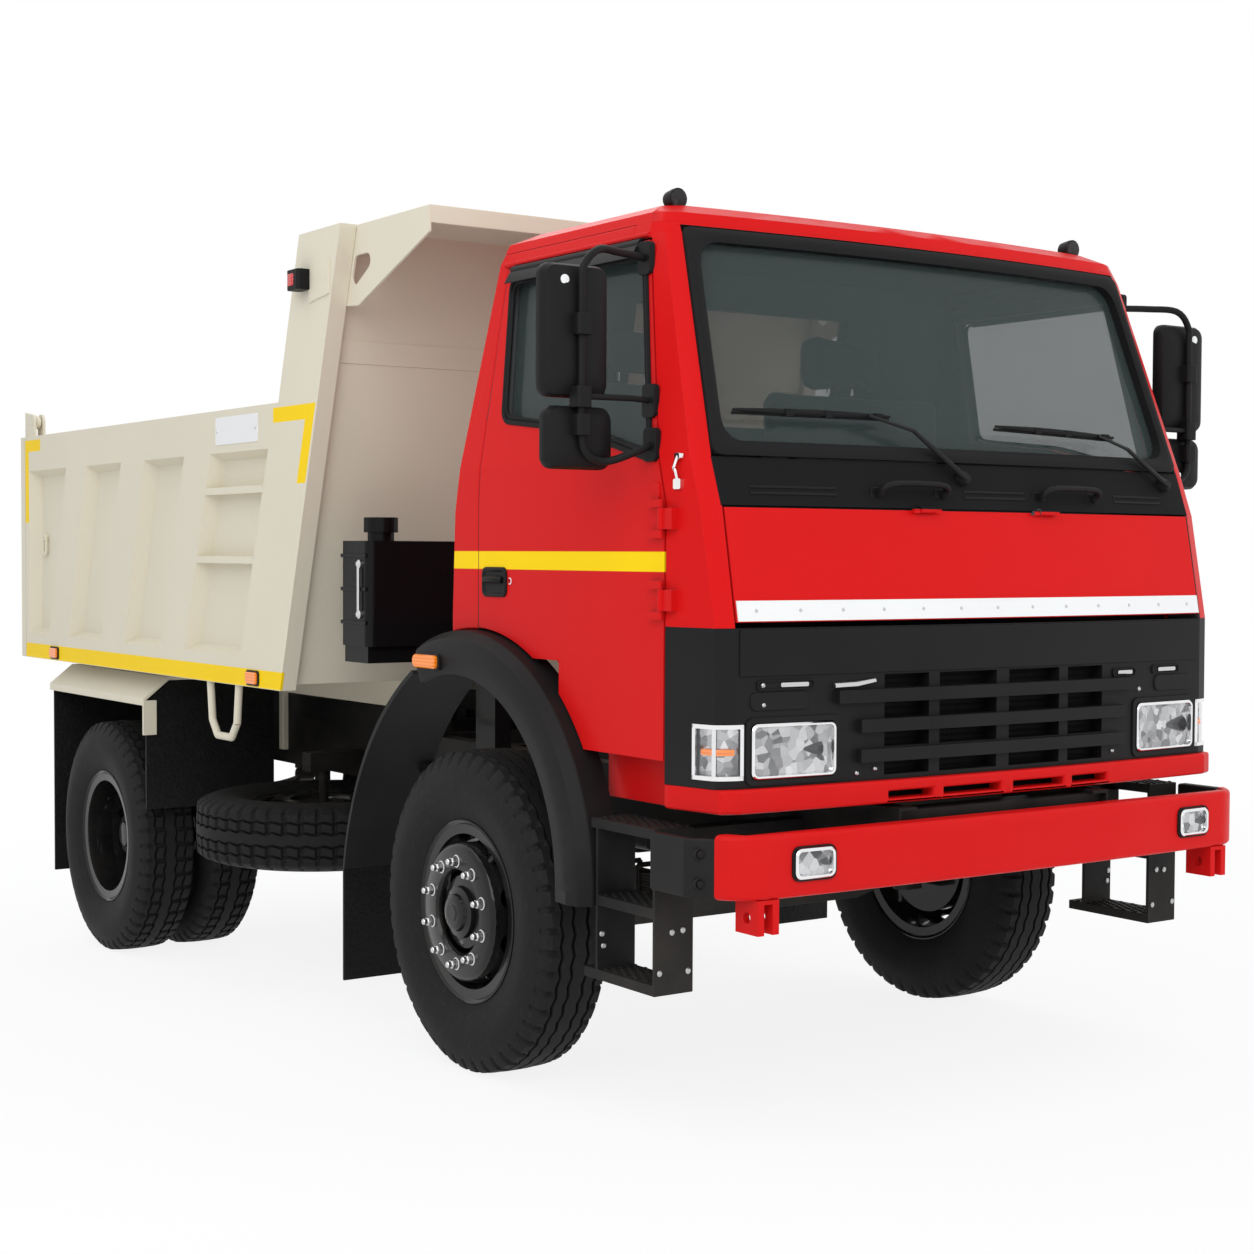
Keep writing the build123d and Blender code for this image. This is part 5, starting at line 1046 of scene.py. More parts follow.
class TRUCK_OT_screen(bpy.types.Operator):
    """Builds the windscreen's rubber seal, the wipers and the cowl's grab handles"""

    bl_idname = "truck.screen"
    bl_label = "Windscreen"

    def execute(self, context):
        seal = Form()
        rings = []
        for inset, radius, proud in SEAL_SECTION:
            edge = ring_of(inset_corners(SCREEN, inset, radius), 240)
            rings.append([on_front(x, z, proud) for x, z in edge])
        seal.loft(rings, caps=False)
        seal.piece("seal_screen", "rubber", replaces=["screen_seal"])
        self.wipers()
        self.cowl()
        return {"FINISHED"}

    def wipers(self):
        arms, blades = Form(), Form()
        for pivot, elbow, joint, tip in WIPERS:
            hub = on_front(*pivot)
            arms.lathe([(0, 24), (-18, 22), (-30, 15), (-34, 0.01)], hub, "Y", 24)
            arms.tube([on_front(*pivot, 26), on_front(*elbow, 34)], [15, 10], 10, 0.6)
            arms.tube([on_front(*elbow, 34), on_front(*joint, 36)], [9, 7], 8, 0.5)
            run = [Vector(joint).lerp(Vector(tip), s) for s in np.linspace(-0.2, 1, 13)]
            bow = [4 + 6 * math.sin(math.pi * k / 12) for k in range(13)]
            blades.tube([on_front(x, z, 22) for x, z in run], bow, 8)
            blades.tube([on_front(x, z - 9, 13) for x, z in run], 4.5, 6)
            for s in (0.15, 0.42, 0.7):
                x, z = run[int(s * 12)]
                blades.block((x - 14, x + 14), (front_y(x, z) - 32, front_y(x, z) - 14), (z - 12, z + 8))
        arms.piece("wiper_arms", "trim", replaces=["wipers"])
        blades.piece("wiper_blades", "rubber")

    def cowl(self):
        form = Form()
        for low, high in GRAB_HANDLES:
            z = GRAB_Z
            half = ((12, -22, 2), (14, 0, 34), (60, 12, 42))
            line = [on_front(low + inset, z + rise, proud) for inset, rise, proud in half]
            line += [on_front(high - inset, z + rise, proud) for inset, rise, proud in half[::-1]]
            form.tube(eased(line, 5), 13, 10, 0.7)
            for x in (low + 12, high - 12):
                form.slab(rounded(56, 40, 8, 3, (x, z - 20)), (front_y(x, z) - 8, front_y(x, z) + 8))
        for x, width in COWL_RIBS:
            across = np.linspace(x - width / 2, x + width / 2, 9)
            for low in (1860, 1878):
                form.sheet([[on_front(u, z, 3) for u in across] for z in (low, low + 8)], 8)
        form.piece("cowl_fittings", "trim", bevel=2)


FASCIA_PANEL = (1352.0, 1482.0)
FASCIA_SLOTS = (
    # middle x, z, width, insert's middle and width
    (-804.0, 1326.0, 196.0, -773.0, 96.0), (572.0, 1321.0, 112.0, 578.0, 70.0),
    (782.0, 1325.0, 140.0, 790.0, 90.0),
)
FASCIA_SCREWS = (
    (-882.0, 1326.0), (-880.0, 1271.0), (-486.0, 1074.0), (-553.0, 1064.0), (516.0, 1074.0), (646.0, 1265.0),
)
HATCH = (824.0, 1281.0)
HATCH_ROWS = ((200, 54, 20, -2), (198, 52, 20, 5), (190, 44, 17, 7))
FASCIA_LATCH = ((-640.0, 1320.0), (-560.0, 1322.0), (-492.0, 1331.0))
FLAP_STRIP = (1505.0, 1562.0)
RADIATOR = ((-485.0, 500.0), (-1252.0, -1230.0), (978.0, 1352.0))
HEAD_LAMP = (777.0, 1141.5, 290.0, 155.0)
FOG_LAMP = (791.5, 838.5, 139.0, 85.0)
TURN_PATH = ((942, -1264.5), (969, -1262), (1006, -1249), (1024, -1232), (1034, -1190), (1040, -1157))
TURN_Z = (1064.0, 1219.0)
ROOF_LAMP = (839.0, -780.0, 2743.0)
CAP_BOLTS = (790.0, 872.0)
CAP_BOLT_PLACE = (1098.0, -1266.0)


def bumper_y(x):
    """The bumper's bowed face."""
    return -1405.7 + 23 * (x / 940) ** 2


def rings_on(face, centre, rows):
    """Rounded outlines (width, height, radius, proud) laid on a front face."""
    rings = []
    for width, height, radius, proud in rows:
        outline = rounded(width, height, radius, 5, centre)
        rings.append([(x, face(x, z) - proud, z) for x, z in outline])
    return rings


def stretch_of(path, start, end, count=10):
    """The part of a line between two lengths along it; lengths under 0 are from its end."""
    line = np.array(path, float)
    length = np.r_[0, np.cumsum(np.linalg.norm(np.diff(line, axis=0), axis=1))]
    start, end = (at if at > 0 else at + length[-1] for at in (start, end))
    return np.stack([np.interp(np.linspace(start, end, count), length, line[:, k]) for k in range(2)], axis=1)


class TRUCK_OT_front(bpy.types.Operator):
    """Builds the fascia's fittings, the lamps, the flap's strip and the bumper's bolts"""

    bl_idname = "truck.front"
    bl_label = "Front"

    def execute(self, context):
        self.grille()
        self.lamps()
        self.turn_lamps()
        self.roof_lamps()
        self.bumper()
        return {"FINISHED"}

    def grille(self):
        panel, slots, inserts, screws = Form(), Form(), Form(), Form()
        panel.sheet([[on_front(x, z, 5) for x in np.linspace(-958, 958, 33)] for z in FASCIA_PANEL], 6)
        for side in (-1, 1):
            panel.loft(rings_on(front_y, (side * HATCH[0], HATCH[1]), HATCH_ROWS))
        panel.piece("fascia_panel", "trim", bevel=2)
        for x, z, width, insert, length in FASCIA_SLOTS:
            slots.loft(rings_on(front_y, (x, z), (
                (width, 28, 10, -2), (width, 28, 10, 6), (width - 7, 21, 8, 6), (width - 9, 19, 7, 1))))
            inserts.loft(rings_on(front_y, (insert, z), (
                (length, 12, 4, 0), (length, 12, 4, 4), (length - 4, 8, 3, 5))))
        slots.piece("fascia_slots", "rubber", slot="trim_black")
        inserts.tube([on_front(x, z, 9) for x, z in FASCIA_LATCH], [9, 9, 7], 8, 0.7)
        inserts.piece("fascia_inserts", "steel", crease=50)
        for x, z in FASCIA_SCREWS:
            screws.lathe([(4, 8), (-6, 7), (-9, 4), (-9, 0.01)], on_front(x, z), "Y", 14)
        screws.piece("fascia_screws", "bolt")
        core = Form()
        core.block(*RADIATOR)
        core.piece("radiator_core", "core")
        strip = Form()
        grid = [[on_front(x, z, 5) for x in np.linspace(-962, 962, 33)] for z in FLAP_STRIP]
        strip.sheet(grid, 4)
        strip.piece("flap_strip", "white", "front_flap")
        rivets = Form()
        for x in np.linspace(-900, 900, 13):
            rivets.lathe([(2, 6), (-1.5, 5), (-3, 0.01)], on_front(x, sum(FLAP_STRIP) / 2, 5), "Y", 12)
        rivets.piece("flap_rivets", "steel", "front_flap")

    def lamps(self):
        frames, bezels, bowls, lenses, bulbs_and_painted_reflection = Form(), Form(), Form(), Form(), Form()

        def on_bumper(x, z):
            return bumper_y(x)

        kinds = ((HEAD_LAMP, front_y, 36, 46), (FOG_LAMP, on_bumper, 14, 34))
        for side in (-1, 1):
            for (x, z, w, h), face, rim, deep in kinds:
                centre = (side * x, z)
                frames.loft(rings_on(face, centre, (
                    (w + rim, h + rim, 24, -4), (w + rim - 2, h + rim - 2, 24, 7), (w + 5, h + 5, 20, 7),
                    (w + 4, h + 4, 20, -6))), caps=False)
                bezels.loft(rings_on(face, centre, (
                    (w + 2, h + 2, 20, -4), (w, h, 20, 10), (w - 7, h - 7, 18, 14), (w - 17, h - 17, 15, 12),
                    (w - 22, h - 22, 13, 4), (w - 24, h - 24, 12, -8))), caps=False)
                bowls.loft(rings_on(face, centre, (
                    (w - 23, h - 23, 12, -4), (w * 0.74, h * 0.72, 18, -deep * 0.55),
                    (w * 0.44, h * 0.5, 18, -deep * 0.86), (38, 32, 14, -deep))))
                lenses.loft(rings_on(face, centre, (
                    (w - 22, h - 22, 13, 3), (w - 36, h - 36, 12, 7), (w * 0.45, h * 0.45, 12, 9),
                    (w * 0.1, h * 0.1, 4, 9))))
                bulbs_and_painted_reflection.lathe([(deep, 17), (deep * 0.3, 15), (deep * 0.16, 9), (deep * 0.16, 0.01)],
                            (centre[0], face(*centre), z), "Y", 16)
                # painted reflection: a dark cone to the same side in every lamp bowl stands in for the bulb's
                # reflection
                bulbs_and_painted_reflection.tube([(centre[0] + w * 0.05, face(*centre) + deep * 0.4, z),
                            (centre[0] + w * 0.36, face(*centre) + deep * 0.3, z)], [h * 0.07, h * 0.17], 12)
        frames.piece("lamp_frames", "trim")
        bezels.piece("lamp_bezels", "chrome", replaces=["front_lamps"], slot="lamp")
        bowls.piece("lamp_bowls", "reflector", crease=12)
        # the bulbs and the dark cone of painted reflection, in one piece
        bulbs_and_painted_reflection.piece("lamp_bulbs_and_painted_reflection", "dash")
        lenses.piece("lamp_lenses", "lens")

    def turn_lamps(self):
        low, high = TURN_Z
        middle = (low + high) / 2
        bezel, lens, bowl, amber = Form(), Form(), Form(), Form()
        for form, start, end, grow, back, z0, z1 in (
            # form, part of the path, how far out, thickness, height
            (bezel, 0.5, -0.5, 6, 24, low, low + 12), (bezel, 0.5, -0.5, 6, 24, high - 12, high),
            (bezel, 0.5, 12, 6, 24, low, high), (bezel, -12, -0.5, 6, 24, low, high),
            (bezel, 84, 97, -2, 8, low + 10, high - 10), (lens, 8, -8, 3, 3, low + 9, high - 9),
            (bowl, 8, -8, -24, 5, low + 9, high - 9), (amber, 30, -30, -6, 8, middle - 9, middle + 9),
        ):
            for side in (-1, 1):
                path = [(side * x, y) for x, y in stretch_of(TURN_PATH, start, end)]
                centre = Vector((side * 700, -900))
                out = [Vector(p) + (Vector(p) - centre).normalized() * grow for p in path]
                inside = [Vector(p) + (Vector(p) - centre).normalized() * (grow - back) for p in path]
                form.loft([[(p.x, p.y, level) for p in (*out, *inside[::-1])] for level in (z0, z1)])
        bezel.piece("turn_bezels", "chrome", slot="lamp", bevel=3)
        lens.piece("turn_lenses", "lens", bevel=1)
        bowl.piece("turn_bowls", "reflector")
        amber.piece("turn_filaments", "amber", bevel=2)

    def roof_lamps(self):
        stalks, lenses = Form(), Form()
        for side in (-1, 1):
            x, y, z = side * ROOF_LAMP[0], ROOF_LAMP[1], ROOF_LAMP[2]
            stalks.block((x - 23, x + 23), (y - 40, y + 40), (z - 83, z - 28), 12)
            stalks.tube([(x, y, z - 43), (x, y, z - 1)], 12, 12)
            stalks.lathe([(34, 0.01), (34, 14), (22, 26), (-10, 31), (-24, 31)], (x, y, z), "Y", 28)
            lenses.lathe([(-20, 29), (-27, 27), (-33, 18), (-36, 0.01)], (x, y, z), "Y", 28)
        stalks.piece("roof_lamp_stalks", "trim", bevel=2)
        lenses.piece("roof_lamp_lenses", "lens")

    def bumper(self):
        bolts = Form()
        for side in (-1, 1):
            for z in CAP_BOLTS:
                x, y = CAP_BOLT_PLACE
                bolts.lathe([(4, 17), (-4, 17), (-6, 13)], (side * x, y, z), "Y", 18)
                bolts.nut((side * x, y - 4, z), "Y", 21, -12)
        bolts.piece("bumper_bolts", "trim")


WINDOW = ((-150, 2115), (-560, 2070), (-975, 1965), (-850, 2560), (-118, 2560))
DEFLECTOR = (
    # level at which the door's side is taken, how far out from it, z
    (2600, 4, 2604), (2580, 26, 2580), (2545, 40, 2548), (2545, 36, 2547), (2580, 21, 2578), (2600, -4, 2598),
)
HANDLE = (-123.0, 1599.0)
MIRRORS = (
    # middle x, middle z, width, height
    (-1275.0, 2314.0, 218.0, 372.0), (-1261.0, 2016.0, 222.0, 176.0),
)
MIRROR_Y = -905.0
MIRROR_FEET = ((-866.0, 2545.0), (-959.0, 2126.0), (-986.0, 2000.0))
MIRROR_TUBE = (-1275.0, -946.0)
MIRROR_DOT = (-1322.0, -931.0, 2452.0)
DOOR_CAP = (-1005.0, 1868.0)


class TRUCK_OT_doors(bpy.types.Operator):
    """Builds the doors' window rubbers, handles, rain deflectors and mirrors"""

    bl_idname = "truck.doors"
    bl_label = "Doors"

    def execute(self, context):
        for side, name in SIDES:
            placed = FLIP if side > 0 else Matrix()
            self.trims(placed, f"door_{name}", name)
            self.mirror(placed, f"door_{name}", name)
        return {"FINISHED"}

    def trims(self, placed, body, name):
        rubber = Form(placed)
        for inset, size in ((-6, 9), (8, 6)):
            loop = [(-side_x(z) + 1, y, z) for y, z in inset_corners(WINDOW[::-1], inset, 40)]
            rubber.tube([*loop, loop[0]], size, 8)
        rubber.piece(f"window_rubber_{name}", "rubber", body)
        trims = Form(placed)
        y, z = HANDLE
        rows = ((150, 96, 22, -1), (148, 94, 22, 6), (132, 78, 18, 8), (118, 64, 14, 3))
        trims.stack("X", (y, z), [(w, h, r, -CAB_SIDE - proud) for w, h, r, proud in rows])
        grip = ((6, 52, 6), (18, 30, 8), (18, -30, 8), (6, -52, 6))
        trims.tube([(-CAB_SIDE - proud, y + along, z + rise) for proud, along, rise in grip], 11, 10)
        top = [(-side_x(2588) - 2, u, 2588) for u in (-838, -600, -360, -128)]
        trims.tube(top, 20, 12)
        trims.loft([
            [(-side_x(level) - proud, u, z) for level, proud, z in DEFLECTOR]
            for u in np.linspace(-836, -130, 9)])
        trims.piece(f"door_trims_{name}", "trim", body, bevel=1.5)
        cap = Form(placed)
        cap.side_slab(rounded(44, 50, 8, 4, DOOR_CAP), (-CAB_SIDE - 6, -CAB_SIDE + 2))
        cap.piece(f"door_cap_{name}", "cab", body, bevel=2)
        latch = Form(placed)
        latch.lathe([(0, 11), (-3, 11), (-4, 8)], (-CAB_SIDE - 1, y - 96, z + 4), "X", 18)
        latch.piece(f"door_lock_{name}", "chrome", body)

    def mirror(self, placed, body, name):
        shells, glass, arms = Form(placed), Form(placed), Form(placed)
        for x, z, w, h in MIRRORS:
            rows = ((w, h, 34, 26), (w + 2, h + 2, 34, 14), (w, h, 34, 0), (w - 14, h - 14, 34, -14),
                    (w - 52, h - 60, 34, -25), (w - 110, h - 130 if h > 200 else h - 110, 20, -29))
            shells.stack("Y", (x, z), [(a, b, r, MIRROR_Y + deep) for a, b, r, deep in rows], 6)
            glass.slab(rounded(w - 16, h - 16, 28, 6, (x, z)), (MIRROR_Y + 24, MIRROR_Y + 27.5))
        shells.piece(f"mirror_shells_{name}", "trim", body, replaces=[f"mirror_{name}"])
        glass.piece(f"mirror_glass_{name}", "mirror", body)
        dot = Form(placed)
        dot.lathe([(4, 14), (-1.5, 14), (-2, 12), (-2, 0.01)], MIRROR_DOT, "Y", 24)
        dot.piece(f"mirror_dot_{name}", "white", body)
        x, y = MIRROR_TUBE
        (top_y, top_z), (mid_y, mid_z), (low_y, low_z) = MIRROR_FEET
        foot = -side_x(top_z) - 4
        arms.tube(eased([
            (foot, top_y, top_z), (foot - 120, top_y - 30, top_z + 4), (x + 60, y + 6, top_z - 2),
            (x + 6, y, top_z - 52), (x, y, top_z - 120), (x, y, 2200), (x, y, 2040), (x + 14, y, 1975),
            (x + 80, y, 1950),
            (-1120, low_y - 4, 1978), (-1062, low_y, low_z)], 5), 11.5, 12)
        arms.tube([
            (x, y, mid_z + 4), (-1110, mid_y - 2, mid_z + 4), (-side_x(mid_z) - 2, mid_y, mid_z)], 9, 10)
        for foot_y, foot_z in MIRROR_FEET:
            fx = -side_x(foot_z)
            arms.side_slab(rounded(62, 96, 14, 4, (foot_y, foot_z)), (fx - 16, fx + 4))
        for z in (2330, 2128, 2050):
            arms.block((x - 24, x + 24), (y - 22, MIRROR_Y - 8), (z - 30, z + 30), 10)
        arms.piece(f"mirror_arms_{name}", "trim", body, bevel=2)


TREADS = ((470.0, -705.0), (690.0, -765.0), (915.0, -740.0))
TREAD_X = (976.0, 1090.0)
TREAD_FRONT = -1052.0
STEP_BOLTS = (
    # on the front plate, then on the lowest step's rear plate
    (1041.0, -1065.0, 619.0), (1003.0, -1065.0, 622.0), (1084.0, -1065.0, 506.0), (984.0, -1065.0, 503.0),
    (1086.0, -777.0, 574.0), (1080.0, -777.0, 538.0),
)
FLARE_LAMP = ((73.0, 230.0), (1308.0, 1362.0))


class TRUCK_OT_steps(bpy.types.Operator):
    """Builds the steps' grip studs and bolts and the flares' marker lamps"""

    bl_idname = "truck.steps"
    bl_label = "Steps and flares"

    def execute(self, context):
        grips, bolts, lamps, frames = Form(), Form(), Form(), Form()
        for top, rear in TREADS:
            for row, y in enumerate(np.arange(TREAD_FRONT, rear - 14, 26)):
                for x in np.arange(TREAD_X[0] + (row % 2) * 13, TREAD_X[1], 26):
                    grips.lathe([(-1, 8), (3, 7), (4.5, 4), (4.5, 0.01)], (-x, y, top), "Z", 8)
        grips.mirrored().piece("step_grips", "step")
        for x, y, z in STEP_BOLTS:
            bolts.lathe([(1, 9), (-3, 9), (-5, 6), (-5, 0.01)], (-x, y, z), "Y", 14)
        bolts.mirrored().piece("step_bolts", "bolt")
        (front, rear), (low, high) = FLARE_LAMP
        middle, height = ((front + rear) / 2, (low + high) / 2), high - low
        for form, grow, start, end in ((frames, 0, 1120, 1158), (lamps, -10, 1152, 1172)):
            rows = ((grow, start), (grow, end - 5), (grow - 8, end))
            form.stack("X", middle, [(rear - front + wider, height + wider, 14, -x) for wider, x in rows])
        frames.mirrored().piece("flare_lamp_frames", "trim")
        lamps.mirrored().piece("flare_lamps", "amber")
        return {"FINISHED"}


BED_SIDE = 1150.0
PLATE = ((1480.0, 1878.0), (2113.0, 2222.0))
RAIL_MARKERS = (1531.0, 3795.0)
POST_LAMP = ((1016.0, 1112.0), (2640.0, 2714.0))
POST_PLATE = ((866.0, 2612.0), (1030.0, 2592.0), (1030.0, 2712.0), (866.0, 2732.0))


class TRUCK_OT_bed(bpy.types.Operator):
    """Builds the bed's blank plates, its markers and post lamps and their frames"""

    bl_idname = "truck.bed"
    bl_label = "Bed fittings"

    def execute(self, context):
        plates, markers, lamps, frames, rivets = Form(), Form(), Form(), Form(), Form()
        (front, rear), (low, high) = PLATE
        plates.side_slab(rounded(rear - front, high - low, 10, 4, ((front + rear) / 2, (low + high) / 2)),
                         (-BED_SIDE - 3, -BED_SIDE + 1))
        plates.mirrored().piece("bed_plates", "white", "bed", bevel=1)
        for y in (front + 18, rear - 18):
            rivets.lathe([(0, 7), (-3, 6), (-4, 0.01)], (-BED_SIDE - 3, y, (low + high) / 2), "X", 12)
        middle = sum(RAIL_BAND) / 2
        for y in RAIL_MARKERS:
            markers.side_slab(rounded(96, 46, 12, 4, (y, middle)), (-BED_SIDE - 14, -BED_SIDE + 2))
            frames.side_slab(rounded(116, 60, 14, 4, (y, middle)), (-BED_SIDE - 6, -BED_SIDE + 1))
        markers.mirrored().piece("rail_markers", "amber", "bed", bevel=4)
        (front, rear), (low, high) = POST_LAMP
        plate = Form()
        plate.side_slab(POST_PLATE, (-BED_SIDE - 7, -BED_SIDE + 1))
        plate.mirrored().piece("post_plates", "bed", "bed", bevel=2)
        frames.block((-BED_SIDE - 56, -BED_SIDE + 1), (front, rear), (low, high), 14)
        frames.mirrored().piece("bed_lamp_frames", "trim", "bed", bevel=3)
        lamps.block((-BED_SIDE - 61, -BED_SIDE - 40), (front + 34, rear - 16), (low + 15, high - 15), 8)
        lamps.mirrored().piece("post_lamps", "stop", "bed", bevel=4)
        rivets.mirrored().piece("plate_rivets", "steel", "bed")
        return {"FINISHED"}


TAIL_LAMP = ((640.0, 960.0), (4000.0, 4045.0))


class TRUCK_OT_tail(bpy.types.Operator):
    """Builds the tail lamps in their trays"""

    bl_idname = "truck.tail"
    bl_label = "Tail lamps"

    def execute(self, context):
        (near, far), (front, rear) = TAIL_LAMP
        low, high = (b[2] for b in self.level_box("tail_lamps"))
        trays, lenses = Form(), {"stop": Form(), "amber": Form(), "white_lens": Form()}
        for side in (-1, 1):
            trays.slab(rounded(far - near, high - low, 14, 4, (side * (near + far) / 2, (low + high) / 2)),
                       (front, rear - 12))
            width = (far - near - 20) / 3
            for k, kind in enumerate(("white_lens", "stop", "amber")):
                x = side * (near + 10 + width * (k + 0.5))
                rows = ((0, front + 20), (0, rear - 6), (-10, rear))
                middle = (x, (low + high) / 2)
                lenses[kind].stack(
                    "Y", middle, [(width - 6 + wider, high - low - 16 + wider, 8, y) for wider, y in rows], 4)
        trays.piece("tail_lamp_trays", "trim", replaces=["tail_lamps"], bevel=3)
        for kind, form in lenses.items():
            form.piece(f"tail_{kind}", kind)
        return {"FINISHED"}

    @staticmethod
    def level_box(node):
        made = NODES[node]
        points = [LEVEL @ (made.matrix_world @ v.co) for v in made.data.vertices]
        return [Vector([pick(p[k] for p in points) for k in range(3)]) for pick in (min, max)]


GUTTER = (-868.0, -66.0, 2616.0)
CATCH = (-1093.0, 1872.0, 1974.0)
BULKHEAD_FOLD = (2377.0, 2457.0)
FOLD_DEPTH = (31.0, 40.0)    # back from the posts' edge
FOLD_HALF = 1090.0
POST_LINE = (786.0, 0.3, 2850.0)
GAUGE = (806.0, 1470.0, 1650.0)
TANK_RIBS = (1440.0, 1560.0, 1680.0)
TANK_MIDDLE = 860.0
BED_CLIP = (4053.0, 1720.0)


def post_y(z):
    """The leaning front edge of the bed's posts."""
    start, slope, top = POST_LINE
    return start + slope * (top - z)


class TRUCK_OT_fittings(bpy.types.Operator):
    """Builds the gutters, pillar catches, bulkhead fold, tank gauge and bed clips"""

    bl_idname = "truck.fittings"
    bl_label = "Small fittings"

    def execute(self, context):
        front, rear, z = GUTTER
        gutters = Form()
        gutters.tube([(-side_x(z) - 3, y, z) for y in np.linspace(front, rear, 9)], 8, 8)
        gutters.mirrored().piece("gutters", "cab")
        y, low, high = CATCH
        catches = Form()
        face = touch("cab_front", (-1300, y, (low + high) / 2), (1, 0, 0)).x
        catches.side_slab(rounded(34, 30, 6, 4, (y, low + 15)), (face - 12, face + 4))
        catches.side_slab(rounded(24, 18, 5, 4, (y, high - 9)), (face - 12, face + 4))
        catches.tube(eased([
            (face - 8, y, low + 24), (face - 20, y - 6, low + 50), (face - 18, y + 4, high - 40),
            (face - 8, y, high - 8)]), 5, 8)
        catches.mirrored().piece("pillar_catches", "chrome", bevel=1.5)
        low, high = BULKHEAD_FOLD
        fold = Form()
        line = [(post_y(z) + FOLD_DEPTH[0], z) for z in (low, high)]
        line += [(post_y(z) + FOLD_DEPTH[1], z) for z in (high, low)]
        fold.side_slab(line, (-FOLD_HALF, FOLD_HALF))
        fold.piece("bulkhead_fold", "bed", "bed", bevel=1.5)
        y, low, high = GAUGE
        gauge, ribs = Form(), Form()
        face = touch("oil_tank", (-1300, y, (low + high) / 2), (1, 0, 0)).x
        for z in (low, high):
            gauge.lathe([(0, 16), (-10, 16), (-16, 9), (-16, 0.01)], (face, y, z), "X", 16)
        gauge.tube([(face - 10, y, low), (face - 10, y, high)], 6, 10)
        gauge.piece("tank_gauge", "steel")
        for z in TANK_RIBS:
            ribs.side_slab(rounded(196, 14, 6, 3, (TANK_MIDDLE, z)), (face - 5, face + 3))
        ribs.piece("tank_ribs", "tank", bevel=2)
        clips = Form()
        y, z = BED_CLIP
        face = touch("bed_sides", (-1400, y, z), (1, 0, 0)).x
        loop = [(face - 14, u, v) for u, v in rounded(44, 92, 20, 5, (y, z))]
        clips.tube([*loop, loop[0]], 7, 8)
        clips.side_slab(rounded(34, 30, 6, 3, (y, z + 40)), (face - 16, face + 3))
        clips.mirrored().piece("bed_clips", "bed", "bed")
        return {"FINISHED"}


SEAT_PLACES = (
    # name, middle x, half width
    ("driver", -540.0, 250.0), ("mate", 430.0, 420.0),
)
CUSHION_Y = (-580.0, -70.0)
CUSHION_Z = (1510.0, 1682.0)
BACK_LINE = ((-158.0, 1690.0), (-140.0, 1980.0), (-132.0, 2275.0))
BACK_DEPTH = 78.0
HEADRESTS = (
    # middle x, width, foot and top
    (-540.0, 236.0, 2292.0, 2426.0), (370.0, 345.0, 2270.0, 2468.0),
)
HEADREST_Y = -134.0
HEADREST_POSTS = (2262.0, 2310.0)
PAD_GRAIN = 11.0


def swell(made, cap):
    """Swells a pad with a short cloth simulation, no point moving further than the cap."""
    def settle():
        depsgraph = bpy.context.evaluated_depsgraph_get()
        made.data = bpy.data.meshes.new_from_object(made.evaluated_get(depsgraph))
        made.modifiers.clear()

    remesh = made.modifiers.new("grain", "REMESH")
    remesh.mode = "VOXEL"
    remesh.voxel_size = PAD_GRAIN * MM
    settle()
    start = np.empty(len(made.data.vertices) * 3)
    made.data.vertices.foreach_get("co", start)
    cloth = made.modifiers.new("swell", "CLOTH")
    cloth.settings.use_pressure = True
    cloth.settings.uniform_pressure_force = 4.0
    cloth.settings.effector_weights.gravity = 0.0
    for frame_number in range(1, 21):
        bpy.context.scene.frame_set(frame_number)
    settle()
    bpy.context.scene.frame_set(1)
    moved = np.empty_like(start)
    made.data.vertices.foreach_get("co", moved)
    shift = (moved - start).reshape(-1, 3)
    length = np.linalg.norm(shift, axis=1, keepdims=True)
    shift *= np.minimum(1.0, cap * MM / np.maximum(length, 1e-9))
    made.data.vertices.foreach_set("co", start + shift.ravel())
    made.data.shade_smooth()
    made.modifiers.new("subdivide", "SUBSURF").levels = 1


class TRUCK_OT_seats(bpy.types.Operator):
    """Builds the padded seats and headrests in cloth"""

    bl_idname = "truck.seats"
    bl_label = "Seats"

    def execute(self, context):
        pads = []
        for name, x, half in SEAT_PLACES:
            cushion = Form()
            width = 2 * half - 24
            depth, middle = CUSHION_Y[1] - CUSHION_Y[0] - 20, sum(CUSHION_Y) / 2
            low, high = CUSHION_Z
            rows = (
                (-60, low), (-8, low + 30), (0, low + 80), (0, high - 44), (-20, high - 16), (-90, high - 2))
            cushion.stack("Z", (x, middle), [(width + wider, depth + wider, 60, z) for wider, z in rows], 6)
            pads.append((cushion, f"seat_{name}"))
            back = Form()
            rings = []
            for k, (y, z) in enumerate(BACK_LINE):
                for drop, grow in {0: ((0, -40), (30, 0)), 1: ((0, 0),), 2: ((-40, 0), (-6, -60))}[k]:
                    plan = rounded(width + grow, BACK_DEPTH + grow / 4, 30, 6, (x, y))
                    rings.append([(u, v, z + drop) for u, v in plan])
            back.loft(rings)
            pads.append((back, f"backrest_{name}"))
        rests, posts = Form(), Form()
        for x, width, low, high in HEADRESTS:
            rows = ((-90, low), (-24, low + 18), (0, low + 50), (0, high - 50), (-24, high - 18), (-90, high))
            rests.stack("Z", (x, HEADREST_Y), [(width + wider, 72 + wider / 3, 20, z) for wider, z in rows])
            for offset in (-55, 55):
                posts.tube([(x + offset, HEADREST_Y, z) for z in HEADREST_POSTS], 7, 10)
        pads.append((rests, "headrests"))
        for k, (form, name) in enumerate(pads):
            made = form.piece(name, "cloth", replaces=["seats"] if k == 0 else ())
            swell(made, sizes().seat_swell / MM)
        posts.piece("headrest_posts", "chrome")
        return {"FINISHED"}


SPRING_PACKS = (
    # axle y, seat z, pack thickness
    (0.0, 525.0, 80.0), (3267.1, 493.1, 110.0),
)
SPRING_EYE_Z = 690.0
SPRING_REACH = 640.0
SPRING_X = 405.0
SPRING_WIDTH = 70.0
CLAMP_REACH = 44.0
CLAMP_RISE = 22.0
CLAMP_BAR = 9.0


